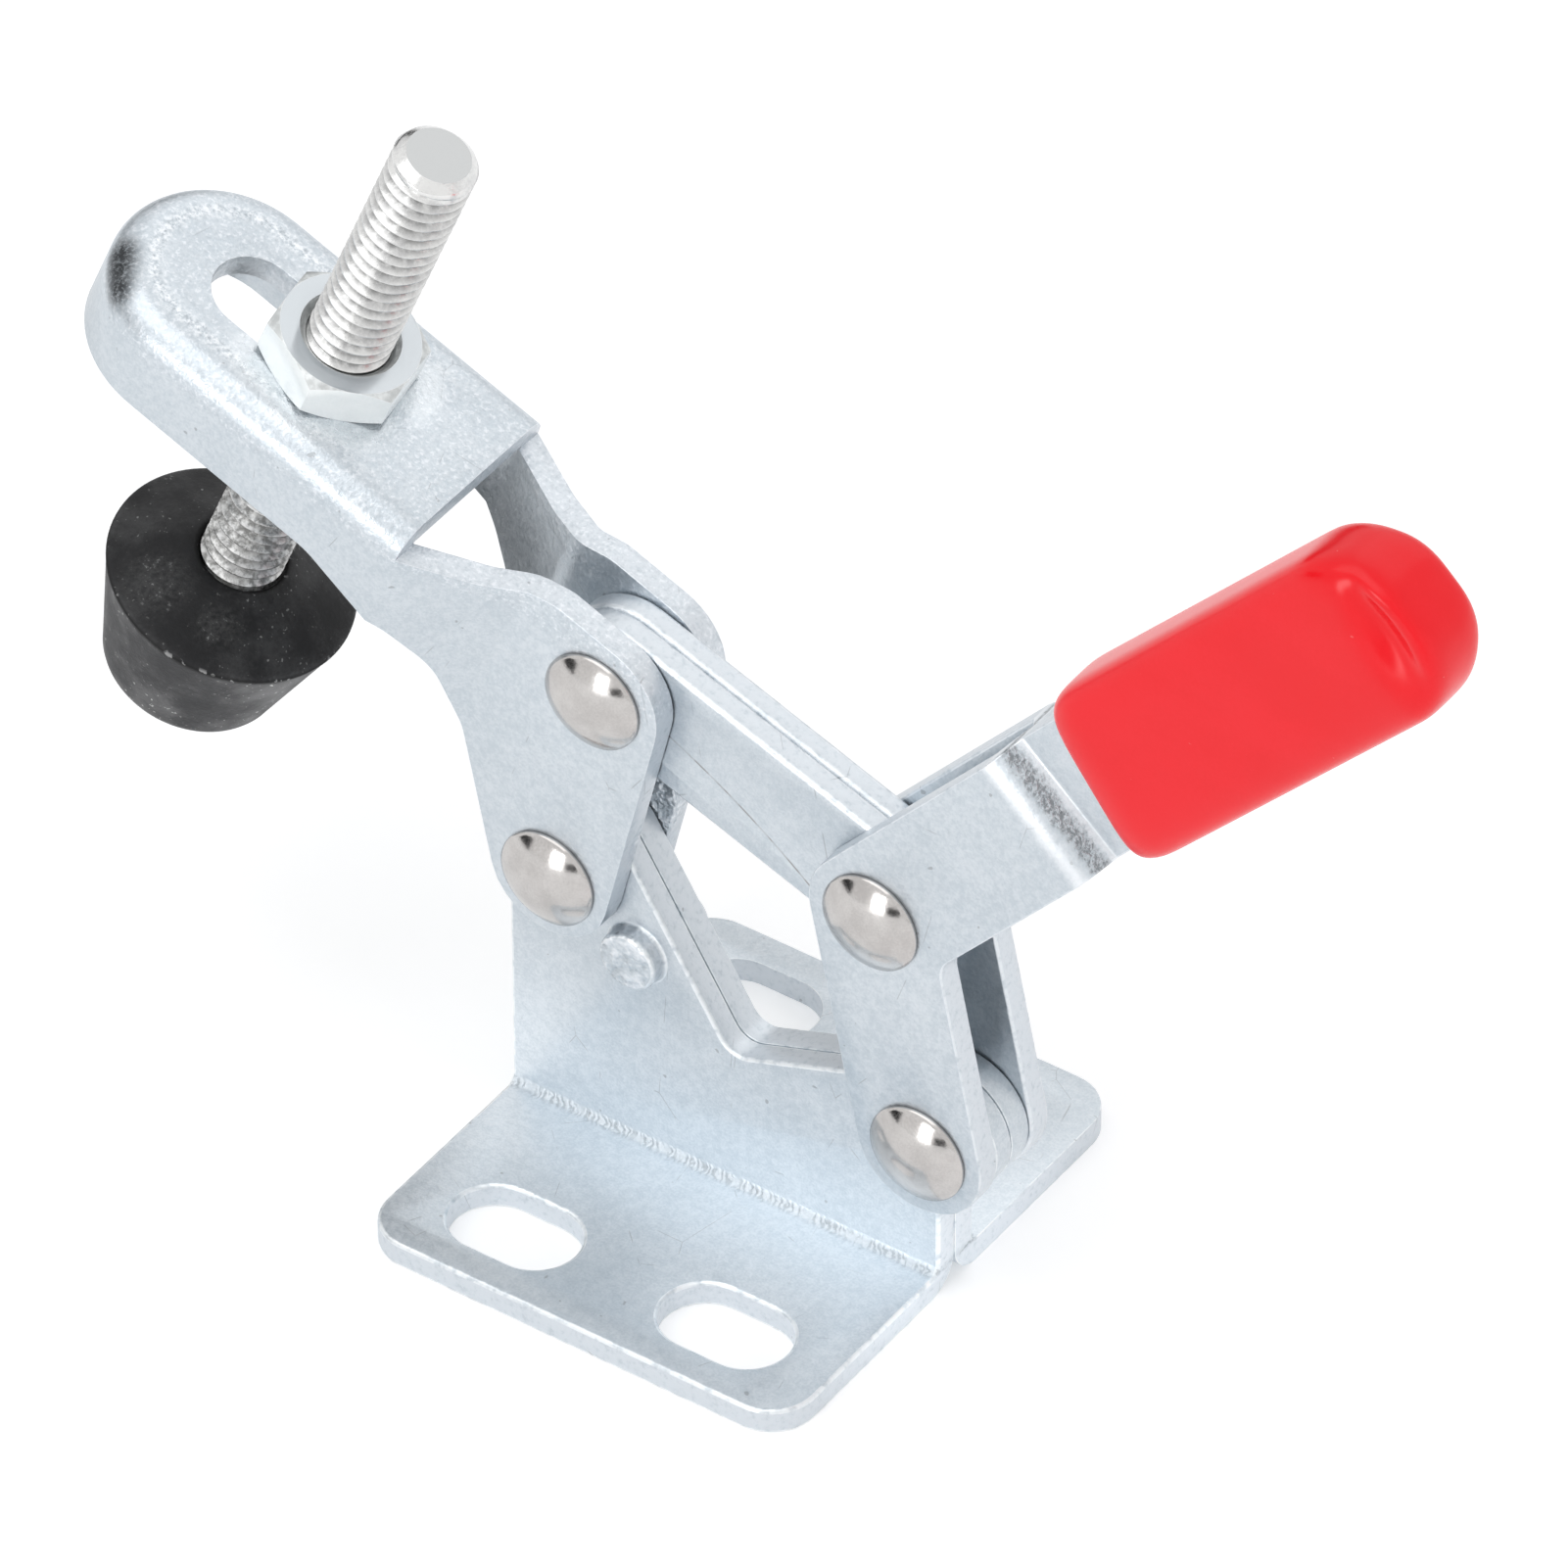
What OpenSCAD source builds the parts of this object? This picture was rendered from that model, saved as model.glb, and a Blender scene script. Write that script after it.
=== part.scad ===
// Small vertical handle toggle clamp with a flanged base, a U-shaped arm and a rubber tipped spindle.
// Millimetres. The origin is the middle of the four base slots on the underside of the feet.
// X runs from the spindle towards the handle, Z is up and Y = 0 is the seam between the plates.

/* [Sheet and fits] */
// Thickness of every stamped sheet
sheet_t = 2.0; // [1.6:0.1:2.2]
// Sideways gap between plates that turn past each other
side_gap = 0.1; // [0.05:0.01:0.2]
// Radial gap between a rivet and its holes
pivot_gap = 0.05; // [0.02:0.01:0.1]
// Extra radial gap in the links at the handle rivet
open_pivot_gap = 1.75; // [1.7:0.05:1.8]
// Radial gap between the stud and the nuts
stud_gap = 0.05; // [0.02:0.01:0.1]

/* [Base] */
// Length of the feet and of the base plates
base_len = 35.6; // [34:0.2:40]
// Width over both feet
base_w = 40.8; // [38:0.2:50]
// Radius of the outer corners of a foot
foot_corner_r = 3.5; // [1:0.5:4]
// Distance between slot centres along the base
slot_pitch_x = 17.6; // [16:0.1:18]
// Distance between slot centres across the base
slot_pitch_y = 28.8; // [26:0.1:31]
// Width of a mounting slot
slot_w = 6.6; // [5:0.1:7]
// Length of a mounting slot
slot_len = 10.0; // [8:0.1:12]
// Inner radius of the bend between web and foot
base_bend_r = 0.7; // [0.4:0.1:1.2]
// Top of the front column
column_top = 29.2; // [28.6:0.1:30]
// Width of the front column at its top
column_w = 8.6; // [8:0.1:9]
// Radius of the front top corner
column_front_r = 4.4; // [2:0.2:4.6]
// Radius of the rear top corner
column_rear_r = 3.0; // [1:0.2:3.4]
// Distance from the front edge to the bottom of the notch
notch_x = 18.4; // [17:0.1:20]
// Height of the bottom of the notch
notch_z = 13.2; // [11:0.1:14]
// Radius in the bottom of the notch
notch_r = 1.8; // [0.5:0.1:3]
// Slope of the notch towards the rear lug, in degrees
notch_slope = 20; // [14:1:22]
// Radius of the rear lug
rear_lug_r = 4.9; // [4.2:0.1:5.2]
// Distance from the front pivot back to the stop boss
boss_dx = 5.85; // [5.6:0.05:6.4]
// Distance from the front pivot down to the stop boss
boss_dz = 5.4; // [5.2:0.05:6]
// Diameter of the stop boss
boss_d = 4.6; // [3.6:0.1:4.8]
// How far the stop boss stands out of the plate
boss_h = 1.3; // [0.8:0.1:1.5]

/* [Linkage] */
// Front pivot, distance in front of the middle of the base
front_pivot_x = 13.0; // [12.5:0.1:13.5]
// Height of the front pivot
front_pivot_z = 24.2; // [24:0.1:24.6]
// Rear pivot, distance behind the middle of the base
rear_pivot_x = 17.5; // [17:0.1:18]
// Height of the rear pivot
rear_pivot_z = 14.55; // [14:0.05:15]
// Distance between the two pivots of the arm
arm_throw = 18.0; // [17.6:0.1:18.4]
// Distance between the two pivots of the link
link_len = 24.2; // [24:0.1:24.6]
// Distance between the two pivots of the handle
handle_throw = 19.1; // [18.8:0.1:19.6]
// How far the arm is raised from its clamped position, in degrees
arm_open = 22.4; // [0:0.1:60]

/* [Rivets] */
// Diameter of a rivet
rivet_d = 4.5; // [4:0.1:4.6]
// Diameter of a rivet head
head_d = 7.6; // [6.5:0.1:8]
// Height of the dome of a rivet head
head_h = 1.3; // [0.8:0.1:2]
// Height of the straight rim under the dome
head_rim = 0.25; // [0.1:0.05:0.5]

/* [Arm] */
// Width over the walls of the channel
arm_w = 16.6; // [16.2:0.1:18]
// Inner radius of the bends along the channel
arm_bend_r = 0.3; // [0.1:0.1:0.6]
// Height of the top of the channel above the front pivot
web_h = 23.2; // [22.8:0.1:25]
// Distance from the front pivot to the tip of the nose
nose_reach = 48.6; // [46:0.2:56]
// Depth of the channel over its walls
flange_h = 7.5; // [7:0.1:8.5]
// Distance from the front pivot to the end of the web, where the walls start to close in
web_end = 18.6; // [18:0.1:19.2]
// Height of the wall edge behind the web, above the front pivot
shoulder_h = 21.3; // [20.8:0.1:22]
// Distance in front of the upper pivot at which the shoulder starts to rise
shoulder_start = 10.6; // [9:0.2:11]
// Distance in front of the upper pivot at which the shoulder is at full height
shoulder_end = 5.2; // [4:0.2:6]
// Blend radius of the shoulder
shoulder_r = 3.5; // [1:0.5:4]
// Width of the slot for the stud
arm_slot_w = 6.3; // [6.2:0.1:6.8]
// Distance from the front pivot to the far end of the slot
slot_far = 41.4; // [40:0.2:42]
// Distance from the front pivot to the near end of the slot
slot_near = 26.0; // [25.8:0.1:27]
// Distance from the front pivot at which the walls run parallel again
jog_end = 10.4; // [10:0.1:11.4]
// Inner radius of the bend where the walls run parallel again
jog_r = 2.0; // [0.5:0.1:3]
// Radius of the lug round the upper pivot of the arm
arm_lug_r = 5.2; // [4.8:0.1:5.4]
// Radius of the lug round the front pivot of the arm
foot_lug_r = 4.85; // [4.6:0.05:5]
// Slope of the front edge of the neck, in degrees from the horizontal
neck_slope = 56; // [52:1:60]
// Height at which the front edge of the neck turns into the channel
neck_h = 11.6; // [11:0.2:12.4]
// Blend radius under the neck
neck_r = 6; // [2:0.5:8]
// Distance from the front pivot at which the lower edge starts to drop
drop_start = 24.6; // [23:0.2:26]
// Distance from the front pivot at which the drop ends
drop_end = 17.4; // [17:0.2:19]
// Height of the lower edge after the drop
drop_h = 13.6; // [13:0.1:14.4]

/* [Link] */
// Width of a link plate
link_w = 9.9; // [9.6:0.1:10]

/* [Handle] */
// Width of a handle plate
handle_w = 10.2; // [9.8:0.1:10.4]
// Bend of the handle away from its short leg, in degrees
handle_bend = 53.2; // [48:0.2:58]
// Radius in the inner corner of the handle
elbow_r = 2.2; // [1:0.1:4]
// Distance from the link rivet to the start of the inward step
step_start = 19.8; // [19:0.2:20.4]
// Length of the inward step
step_len = 2.0; // [1.9:0.1:3]
// Inner radius of both bends of the step
step_r = 0.3; // [0.2:0.1:0.8]
// Distance from the link rivet to the end of the plates
handle_reach = 58.0; // [50:0.5:66]

/* [Grip] */
// Distance from the link rivet to the start of the grip
grip_start = 23.6; // [22.8:0.2:26]
// Wall of the grip round the plates
grip_wall = 1.6; // [1.2:0.1:2.4]
// How much later the grip starts on its upper edge
grip_slant = 2.4; // [0:0.2:3]
// Sag of the grip against the plates, in degrees
grip_sag = 1.6; // [0:0.2:2]
// Rounding of the long edges of the grip
grip_edge_r = 2.2; // [1:0.1:3]
// Rounding of the end of the grip, seen from the side
grip_corner_r = 6.0; // [4:0.2:6.4]
// Thickness of the grip over the ends of the plates
grip_cap = 2.4; // [1.5:0.1:4]
// Length of the narrowed mouth of the grip
grip_mouth = 3.0; // [2:0.5:5]
// How far the mouth of the grip is drawn in
grip_mouth_in = 0.7; // [0.4:0.1:1]
// Radius where the mouth runs into the long sides of the grip
grip_mouth_r = 6.0; // [2:0.5:8]

/* [Spindle] */
// Diameter of the stud
stud_d = 6.0; // [5.6:0.1:6]
// Distance from the front pivot to the stud
stud_reach = 31.0; // [30:0.1:36]
// Height of the top of the stud above the front pivot
stud_top = 46.5; // [40:0.5:52]
// Chamfer on the top of the stud
stud_chamfer = 0.7; // [0.3:0.1:0.9]
// Width across the flats of a nut
nut_af = 10.0; // [9:0.1:10.2]
// Height of a nut
nut_h = 3.2; // [2.6:0.1:5]
// Turn of the nuts, in degrees
nut_turn = 9; // [0:1:60]
// Diameter of the countersink in the face of a nut
nut_sink_d = 7.2; // [6.8:0.1:7.6]

/* [Rubber tip] */
// Largest diameter of the tip
tip_d = 18.0; // [16:0.1:20]
// Diameter at the foot of the tip
tip_foot_d = 13.2; // [12:0.1:15]
// Height of the rim below the front pivot
tip_rim = 1.7; // [0:0.1:6]
// Rise of the cone from the rim to the stud
tip_cone_h = 2.6; // [1:0.1:4]
// Diameter of the collar where the stud enters
tip_collar_d = 6.7; // [6.6:0.1:8]
// Height of the tapered side of the tip
tip_side_h = 10.7; // [8:0.1:16]
// Rounding of the lower edge of the tip
tip_r = 1.8; // [0.5:0.1:2]
// Wall of rubber below the end of the stud
tip_floor = 3.0; // [2:0.5:5]

/* [Hidden] */
zinc = "#cdd5da";
bright_zinc = "#d9dcd8";
nickel = "#bdb6b1";
vinyl = "#ee3238";
rubber = "#2c2c2c";
// Steps in a rounded corner of an outline, and round holes and domes
arc_steps = 10;
round_fn = 64;
fine_fn = 96;
hex_sides = 6;
// Overshoot of cuts
cut = 1;
// Longer than any part, for cuts that pass right through
far = 120;

// Sideways places: the pack of two plates, the gap beside it, and the sheet outside the gap
pack_y = sheet_t;
wall_y = pack_y + side_gap;
outer_y = wall_y + sheet_t;
hole_d = rivet_d + 2 * pivot_gap;

// The linkage at the stored opening
front = [-front_pivot_x, front_pivot_z];
rear = [rear_pivot_x, rear_pivot_z];
span = norm(rear - front);
span_angle = atan2(rear.y - front.y, rear.x - front.x);
straight = link_len + handle_throw;
clamped_angle = span_angle + acos((arm_throw^2 + span^2 - straight^2) / (2 * arm_throw * span));
throw_angle = clamped_angle - arm_open;
upper = front + arm_throw * along(throw_angle);
reach = norm(rear - upper);
foot_of_c = (link_len^2 - handle_throw^2 + reach^2) / (2 * reach);
lift_of_c = sqrt(max(0, link_len^2 - foot_of_c^2));
to_rear = (rear - upper) / reach;
knee = upper + foot_of_c * to_rear + lift_of_c * [-to_rear.y, to_rear.x];
link_angle = atan2(knee.y - upper.y, knee.x - upper.x);
leg_angle = atan2(knee.y - rear.y, knee.x - rear.x);
grip_angle = leg_angle - handle_bend;

// The arm is drawn with its web level, seen from the front pivot
upper_in_arm = arm_throw * along(clamped_angle);
web_under = web_h - sheet_t;
flange_low = web_h - flange_h;
half_w = arm_w / 2;
bend_out = arm_bend_r + sheet_t;
nose_x = half_w - nose_reach;
jog_angle = atan2(half_w - outer_y, web_end - jog_end);
stud_low = tip_floor - tip_rim - tip_side_h;

// Half sizes of the grip across the handle and over its thickness
grip_half_z = handle_w / 2 + grip_wall;
grip_half_y = sheet_t + grip_wall;

// A unit vector at an angle
function along(a) = [cos(a), sin(a)];
// The left normal of a direction at an angle
function aside(a) = [-sin(a), cos(a)];
function unit(v) = v / norm(v);
function flat(p) = [p.x, p.y];
// Where the line through p at angle a meets the line through q at angle b
function meet(p, a, q, b) = p + along(a) * ((q - p) * aside(b)) / (along(a) * aside(b));
// Points of the arc that rounds the corner c between p and n with radius r
function corner(p, c, n, r) =
    let (a = unit(p - c), b = unit(n - c), half = acos(a * b) / 2, mid = c + unit(a + b) * r / sin(half),
         from = c + a * r / tan(half) - mid, to = c + b * r / tan(half) - mid,
         start = atan2(from.y, from.x), turn = atan2(from.x * to.y - from.y * to.x, from * to))
    [for (i = [0:arc_steps]) mid + r * along(start + turn * i / arc_steps)];
// An outline from corner points [x, y, radius]; a radius of 0 is a sharp corner
function rounded(pts) =
    [for (i = [0:len(pts) - 1])
        let (n = len(pts), p = flat(pts[(i + n - 1) % n]), c = flat(pts[i]), q = flat(pts[(i + 1) % n]))
        each pts[i].z > 0 ? corner(p, c, q, pts[i].z) : [c]];

// A plate in the XZ plane that fills y from -(inner + t) to -inner
module plate(inner, t) {
    translate([0, -inner, 0]) rotate([90, 0, 0]) linear_extrude(t) children();
}

// A hole or shaft along Y at a point of the XZ plane, to the same length on both sides
module across(p, d, half) {
    translate([p.x, half, p.y]) rotate([90, 0, 0]) cylinder(h = 2 * half, d = d, $fn = round_fn);
}

// Puts a drawing made with the web level and the front pivot at its origin onto the raised arm
module on_arm() {
    translate([front.x, 0, front.y]) rotate([0, arm_open, 0]) children();
}

// A 2D shape whose base lies along an angle at a point of the XZ plane
module at(p, a) {
    translate(p) rotate(a) children();
}

// A 2D bar with round ends between two points
module bar(len, d) {
    translate([0, -d / 2]) square([len, d]);
    circle(d = d, $fn = round_fn);
    translate([len, 0]) circle(d = d, $fn = round_fn);
}

// A slot along X in the XY plane
module slot(len, w) {
    translate([(w - len) / 2, 0]) bar(len - w, w);
}

// Web of a base plate: front column, notch and rear lug
module base_web() {
    front_x = -base_len / 2;
    notch = [front_x + notch_x, notch_z];
    column = [front_x + column_w, column_top];
    crest = meet(notch, notch_slope, rear, notch_slope + 90);
    difference() {
        union() {
            polygon(rounded([[front_x, base_bend_r, 0],
                             [front_x, column_top, column_front_r],
                             [column.x, column.y, column_rear_r],
                             [notch.x, notch.y, notch_r],
                             [crest.x, crest.y, 0],
                             [rear.x, rear.y, 0],
                             [base_len / 2, rear.y, 0],
                             [base_len / 2, base_bend_r, 0]]));
            translate(rear) circle(r = rear_lug_r, $fn = fine_fn);
        }
        translate(front) circle(d = hole_d, $fn = round_fn);
        translate(rear) circle(d = hole_d, $fn = round_fn);
    }
}

// Cross-section of the bend between web and foot, drawn in the YZ plane with the seam at y = 0
module base_bend() {
    outer = base_bend_r + sheet_t;
    difference() {
        translate([-outer, 0]) square(outer);
        difference() {
            translate([-outer, 0]) square(outer);
            translate([-outer, outer]) circle(r = outer, $fn = round_fn);
        }
        translate([-outer, outer]) circle(r = base_bend_r, $fn = round_fn);
    }
}

// One base plate: web with its stop boss, bend and slotted foot
module base_plate() {
    outer = base_bend_r + sheet_t;
    boss = front + [boss_dx, -boss_dz];
    difference() {
        union() {
            intersection() {
                plate(0, sheet_t) base_web();
                translate([-far / 2, -far / 2, outer]) cube(far);
            }
            translate([-base_len / 2, 0, 0]) rotate([90, 0, 90]) linear_extrude(base_len) base_bend();
            base_foot();
            translate([boss.x, -sheet_t, boss.y]) rotate([90, 0, 0])
                cylinder(h = boss_h, d = boss_d, $fn = round_fn);
        }
        translate([boss.x, cut, boss.y]) rotate([90, 0, 0])
            cylinder(h = boss_h + cut, d = boss_d - side_gap, $fn = round_fn);
    }
}

// Foot of a base plate with its two slots
module base_foot() {
    outer = base_bend_r + sheet_t;
    linear_extrude(sheet_t) difference() {
        polygon(rounded([[-base_len / 2, -outer, 0],
                         [-base_len / 2, -base_w / 2, foot_corner_r],
                         [base_len / 2, -base_w / 2, foot_corner_r],
                         [base_len / 2, -outer, 0]]));
        for (side = [-1, 1]) translate([side * slot_pitch_x / 2, -slot_pitch_y / 2]) slot(slot_len, slot_w);
    }
}

module base_plate_right() { color(zinc) base_plate(); }

module base_plate_left() { color(zinc) mirror([0, 1, 0]) base_plate(); }

// Side outline of a wall of the arm, from the channel to both lugs
module wall_outline() {
    throw_dir = clamped_angle;
    low = -foot_lug_r * aside(-neck_slope);
    back_low = -foot_lug_r * aside(throw_dir);
    back_high = upper_in_arm - arm_lug_r * aside(throw_dir);
    back_dir = atan2(back_high.y - back_low.y, back_high.x - back_low.x);
    top = upper_in_arm.y + arm_lug_r;
    tail = meet(back_low, back_dir, low, -neck_slope);
    crown = meet([0, top], 0, back_low, back_dir);
    neck = meet([0, neck_h], 0, low, -neck_slope);
    rise = upper_in_arm.x - shoulder_end;
    polygon(rounded([[nose_x, web_h - bend_out, 0],
                     [nose_x, flange_low, 0],
                     [-drop_start, flange_low, neck_r],
                     [-drop_end, drop_h, neck_r],
                     [neck.x, neck.y, neck_r],
                     [tail.x, tail.y, foot_lug_r],
                     [crown.x, crown.y, arm_lug_r],
                     [rise, top, shoulder_r],
                     [upper_in_arm.x - shoulder_start, shoulder_h, shoulder_r],
                     [-web_end, web_h - bend_out, 0]]));
}

// Plan of the right wall: straight beside the channel, then closing in on the pack
module wall_plan() {
    shift = sheet_t * tan(jog_angle / 2);
    polygon(rounded([[nose_x, -half_w, 0],
                     [-web_end, -half_w, 0],
                     [-jog_end, -outer_y, jog_r],
                     [far, -outer_y, 0],
                     [far, -wall_y, 0],
                     [-jog_end - shift, -wall_y, jog_r + sheet_t],
                     [-web_end - shift, sheet_t - half_w, 0],
                     [nose_x, sheet_t - half_w, 0]]));
}

// Half of the channel's cross-section: web, bend and wall, with the middle of the web at x = 0
module channel_half() {
    bend_x = half_w - bend_out;
    bend_y = web_h - bend_out;
    difference() {
        union() {
            translate([0, flange_low]) square([half_w, bend_y - flange_low]);
            translate([0, bend_y]) square([bend_x, bend_out]);
            translate([bend_x, bend_y]) circle(r = bend_out, $fn = round_fn);
        }
        translate([-cut, flange_low - cut]) square([half_w - sheet_t + cut, bend_y - flange_low + cut]);
        translate([-cut, bend_y - cut]) square([bend_x + cut, arm_bend_r + cut]);
        translate([bend_x, bend_y]) circle(r = arm_bend_r, $fn = round_fn);
        translate([-far, 0]) square(far);
    }
}

// The folded arm: channel with a round nose, slotted web and two pivot walls
module arm_body() {
    difference() {
        union() {
            translate([nose_x, 0, 0]) rotate([0, 0, 90])
                rotate_extrude(angle = 180, $fn = fine_fn) channel_half();
            for (side = [0, 1]) mirror([0, side, 0]) {
                translate([nose_x, 0, 0]) rotate([90, 0, 90]) linear_extrude(-web_end - nose_x)
                    mirror([1, 0, 0]) channel_half();
                intersection() {
                    plate(0, far) wall_outline();
                    linear_extrude(far, center = true) wall_plan();
                }
            }
        }
        translate([-(slot_far + slot_near) / 2, 0, web_under - cut])
            linear_extrude(sheet_t + 2 * cut) slot(slot_far - slot_near, arm_slot_w);
        across([0, 0], hole_d, half_w);
        across(upper_in_arm, hole_d, half_w);
    }
}

module arm() { color(zinc) on_arm() arm_body(); }

// One link plate, with a wider hole at the handle rivet
module link_plate() {
    plate(0, sheet_t) difference() {
        at(upper, link_angle) bar(link_len, link_w);
        translate(upper) circle(d = hole_d, $fn = round_fn);
        translate(knee) circle(d = rivet_d + 2 * open_pivot_gap, $fn = round_fn);
    }
}

module link_plate_right() { color(zinc) link_plate(); }

module link_plate_left() { color(zinc) mirror([0, 1, 0]) link_plate(); }

// Side outline of a handle plate: short leg, elbow and long grip end
module handle_outline() {
    half = handle_w / 2;
    inner = meet(rear - half * aside(leg_angle), leg_angle, knee - half * aside(grip_angle), grip_angle);
    leg_foot = rear - half * aside(leg_angle);
    grip_foot = knee - half * aside(grip_angle) + handle_w * along(grip_angle);
    difference() {
        union() {
            at(rear, leg_angle) bar(handle_throw, handle_w);
            at(knee, grip_angle) bar(handle_reach - half, handle_w);
            elbow(inner, leg_foot, grip_foot);
        }
        translate(rear) circle(d = hole_d, $fn = round_fn);
        translate(knee) circle(d = hole_d, $fn = round_fn);
    }
}

// Fillet in the inner corner of the handle
module elbow(c, p, q) {
    arc = corner(p, c, q, elbow_r);
    polygon([each arc, knee]);
}

// Plan of the right handle plate along the grip: flat, one inward step, then flat on the seam
module handle_plan() {
    shift = sheet_t * tan(atan2(outer_y - pack_y, step_len) / 2);
    polygon(rounded([[-far, -outer_y, 0],
                     [step_start, -outer_y, step_r + sheet_t],
                     [step_start + step_len, -sheet_t, step_r],
                     [far, -sheet_t, 0],
                     [far, 0, 0],
                     [step_start + step_len - shift, 0, step_r + sheet_t],
                     [step_start - shift, -wall_y, step_r],
                     [-far, -wall_y, 0]]));
}

// Puts a drawing made along X from the link rivet onto the grip end of the handle
module on_grip() {
    translate([knee.x, 0, knee.y]) rotate([0, -grip_angle, 0]) children();
}

module handle_plate() {
    intersection() {
        plate(0, far) handle_outline();
        on_grip() linear_extrude(far, center = true) handle_plan();
    }
}

module handle_plate_right() { color(zinc) handle_plate(); }

module handle_plate_left() { color(zinc) mirror([0, 1, 0]) handle_plate(); }

// Outline of the grip along X: a drawn-in mouth, slanted by a given amount, and a round end
module grip_outline(half, slant, end_r) {
    end = handle_reach + grip_cap;
    mouth = half - grip_mouth_in;
    polygon(rounded([[grip_start, -mouth, 0],
                     [grip_start + grip_mouth, -half, grip_mouth_r],
                     [end, -half, end_r],
                     [end, half, end_r],
                     [grip_start + slant + grip_mouth, half, grip_mouth_r],
                     [grip_start + slant, mouth, 0]]));
}

// Cross-section of the grip in the plane across it
module grip_section() {
    polygon(rounded([[-grip_half_y, -grip_half_z, grip_edge_r],
                     [grip_half_y, -grip_half_z, grip_edge_r],
                     [grip_half_y, grip_half_z, grip_edge_r],
                     [-grip_half_y, grip_half_z, grip_edge_r]]));
}

// The grip before the plates are taken out of it, sagging a little from its mouth on
module grip_body() {
    translate([grip_start, 0, 0]) rotate([0, grip_sag, 0]) translate([-grip_start, 0, 0])
        intersection() {
            rotate([90, 0, 0]) linear_extrude(far, center = true)
                grip_outline(grip_half_z, grip_slant, grip_corner_r);
            linear_extrude(far, center = true) grip_outline(grip_half_y, 0, grip_edge_r);
            rotate([90, 0, 90]) linear_extrude(far) grip_section();
        }
}

// Dipped grip round the ends of both handle plates
module grip() {
    color(vinyl) on_grip() difference() {
        grip_body();
        rotate([90, 0, 0]) linear_extrude(2 * sheet_t, center = true)
            bar(handle_reach - handle_w / 2, handle_w);
    }
}

// A rivet along Y with a domed head outside each wall
module rivet(p, face_y) {
    r = head_d / 2;
    ball_r = (r^2 + head_h^2) / (2 * head_h);
    color(nickel) {
        across(p, rivet_d, face_y);
        for (side = [0, 1]) mirror([0, side, 0]) translate([p.x, -face_y, p.y]) rotate([90, 0, 0]) {
            cylinder(h = head_rim, d = head_d, $fn = fine_fn);
            intersection() {
                translate([0, 0, head_rim + head_h - ball_r]) sphere(r = ball_r, $fn = fine_fn);
                translate([0, 0, head_rim]) cylinder(h = head_h + cut, d = head_d, $fn = fine_fn);
            }
        }
    }
}

module rivet_arm_base() { rivet(front, outer_y); }

module rivet_arm_link() { rivet(upper, outer_y); }

module rivet_link_handle() { rivet(knee, outer_y); }

module rivet_handle_base() { rivet(rear, outer_y); }

// Threaded stud, drawn at its major diameter
module stud() {
    color(bright_zinc) on_arm() translate([-stud_reach, 0, 0]) {
        translate([0, 0, stud_low])
            cylinder(h = stud_top - stud_chamfer - stud_low, d = stud_d, $fn = round_fn);
        translate([0, 0, stud_top - stud_chamfer])
            cylinder(h = stud_chamfer, d1 = stud_d, d2 = stud_d - 2 * stud_chamfer, $fn = round_fn);
    }
}

// Thin hexagon nut with chamfered corners and a countersunk bore, standing on z = 0
module nut() {
    corner_d = nut_af / cos(30);
    bevel = (corner_d - nut_af) / 2 * tan(30);
    bore_d = stud_d + 2 * stud_gap;
    sink = (nut_sink_d - bore_d) / 2;
    rotate(nut_turn - 90) difference() {
        intersection() {
            cylinder(h = nut_h, d = corner_d, $fn = hex_sides);
            union() {
                cylinder(h = bevel, d1 = nut_af, d2 = corner_d, $fn = fine_fn);
                translate([0, 0, bevel]) cylinder(h = nut_h - 2 * bevel, d = corner_d, $fn = fine_fn);
                translate([0, 0, nut_h - bevel])
                    cylinder(h = bevel, d1 = corner_d, d2 = nut_af, $fn = fine_fn);
            }
        }
        translate([0, 0, -cut]) cylinder(h = nut_h + 2 * cut, d = bore_d, $fn = round_fn);
        translate([0, 0, nut_h - sink]) cylinder(h = sink, d1 = bore_d, d2 = nut_sink_d, $fn = round_fn);
        cylinder(h = sink, d1 = nut_sink_d, d2 = bore_d, $fn = round_fn);
    }
}

module nut_upper() { color(bright_zinc) on_arm() translate([-stud_reach, 0, web_h]) nut(); }

module nut_lower() { color(bright_zinc) on_arm() translate([-stud_reach, 0, web_under - nut_h]) nut(); }

// Half of the rubber tip's section: tapered side, shallow cone and the socket for the stud
module tip_half() {
    foot = -tip_rim - tip_side_h;
    difference() {
        polygon(rounded([[0, foot, 0],
                         [tip_foot_d / 2, foot, tip_r],
                         [tip_d / 2, -tip_rim, 0],
                         [tip_collar_d / 2, tip_cone_h - tip_rim, 0],
                         [0, tip_cone_h - tip_rim, 0]]));
        translate([-cut, stud_low]) square([stud_d / 2 + cut, far]);
    }
}

module rubber_tip() {
    color(rubber) on_arm() translate([-stud_reach, 0, 0]) rotate_extrude($fn = fine_fn) tip_half();
}

base_plate_right();
base_plate_left();
arm();
link_plate_right();
link_plate_left();
handle_plate_right();
handle_plate_left();
grip();
rivet_arm_base();
rivet_arm_link();
rivet_link_handle();
rivet_handle_base();
stud();
nut_upper();
nut_lower();
rubber_tip();
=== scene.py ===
"""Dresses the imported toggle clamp: softened sheets, a real thread, the dipped grip, finishes."""

import logging
import math
from dataclasses import dataclass
from enum import Enum
from functools import cached_property, reduce
from typing import Protocol

import bmesh
import bpy
from bmesh.types import BMEdge, BMesh, BMVert
from bpy.types import Material, NodeSocket, Object, World
from mathutils import Matrix, Vector
from mathutils.bvhtree import BVHTree


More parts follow.
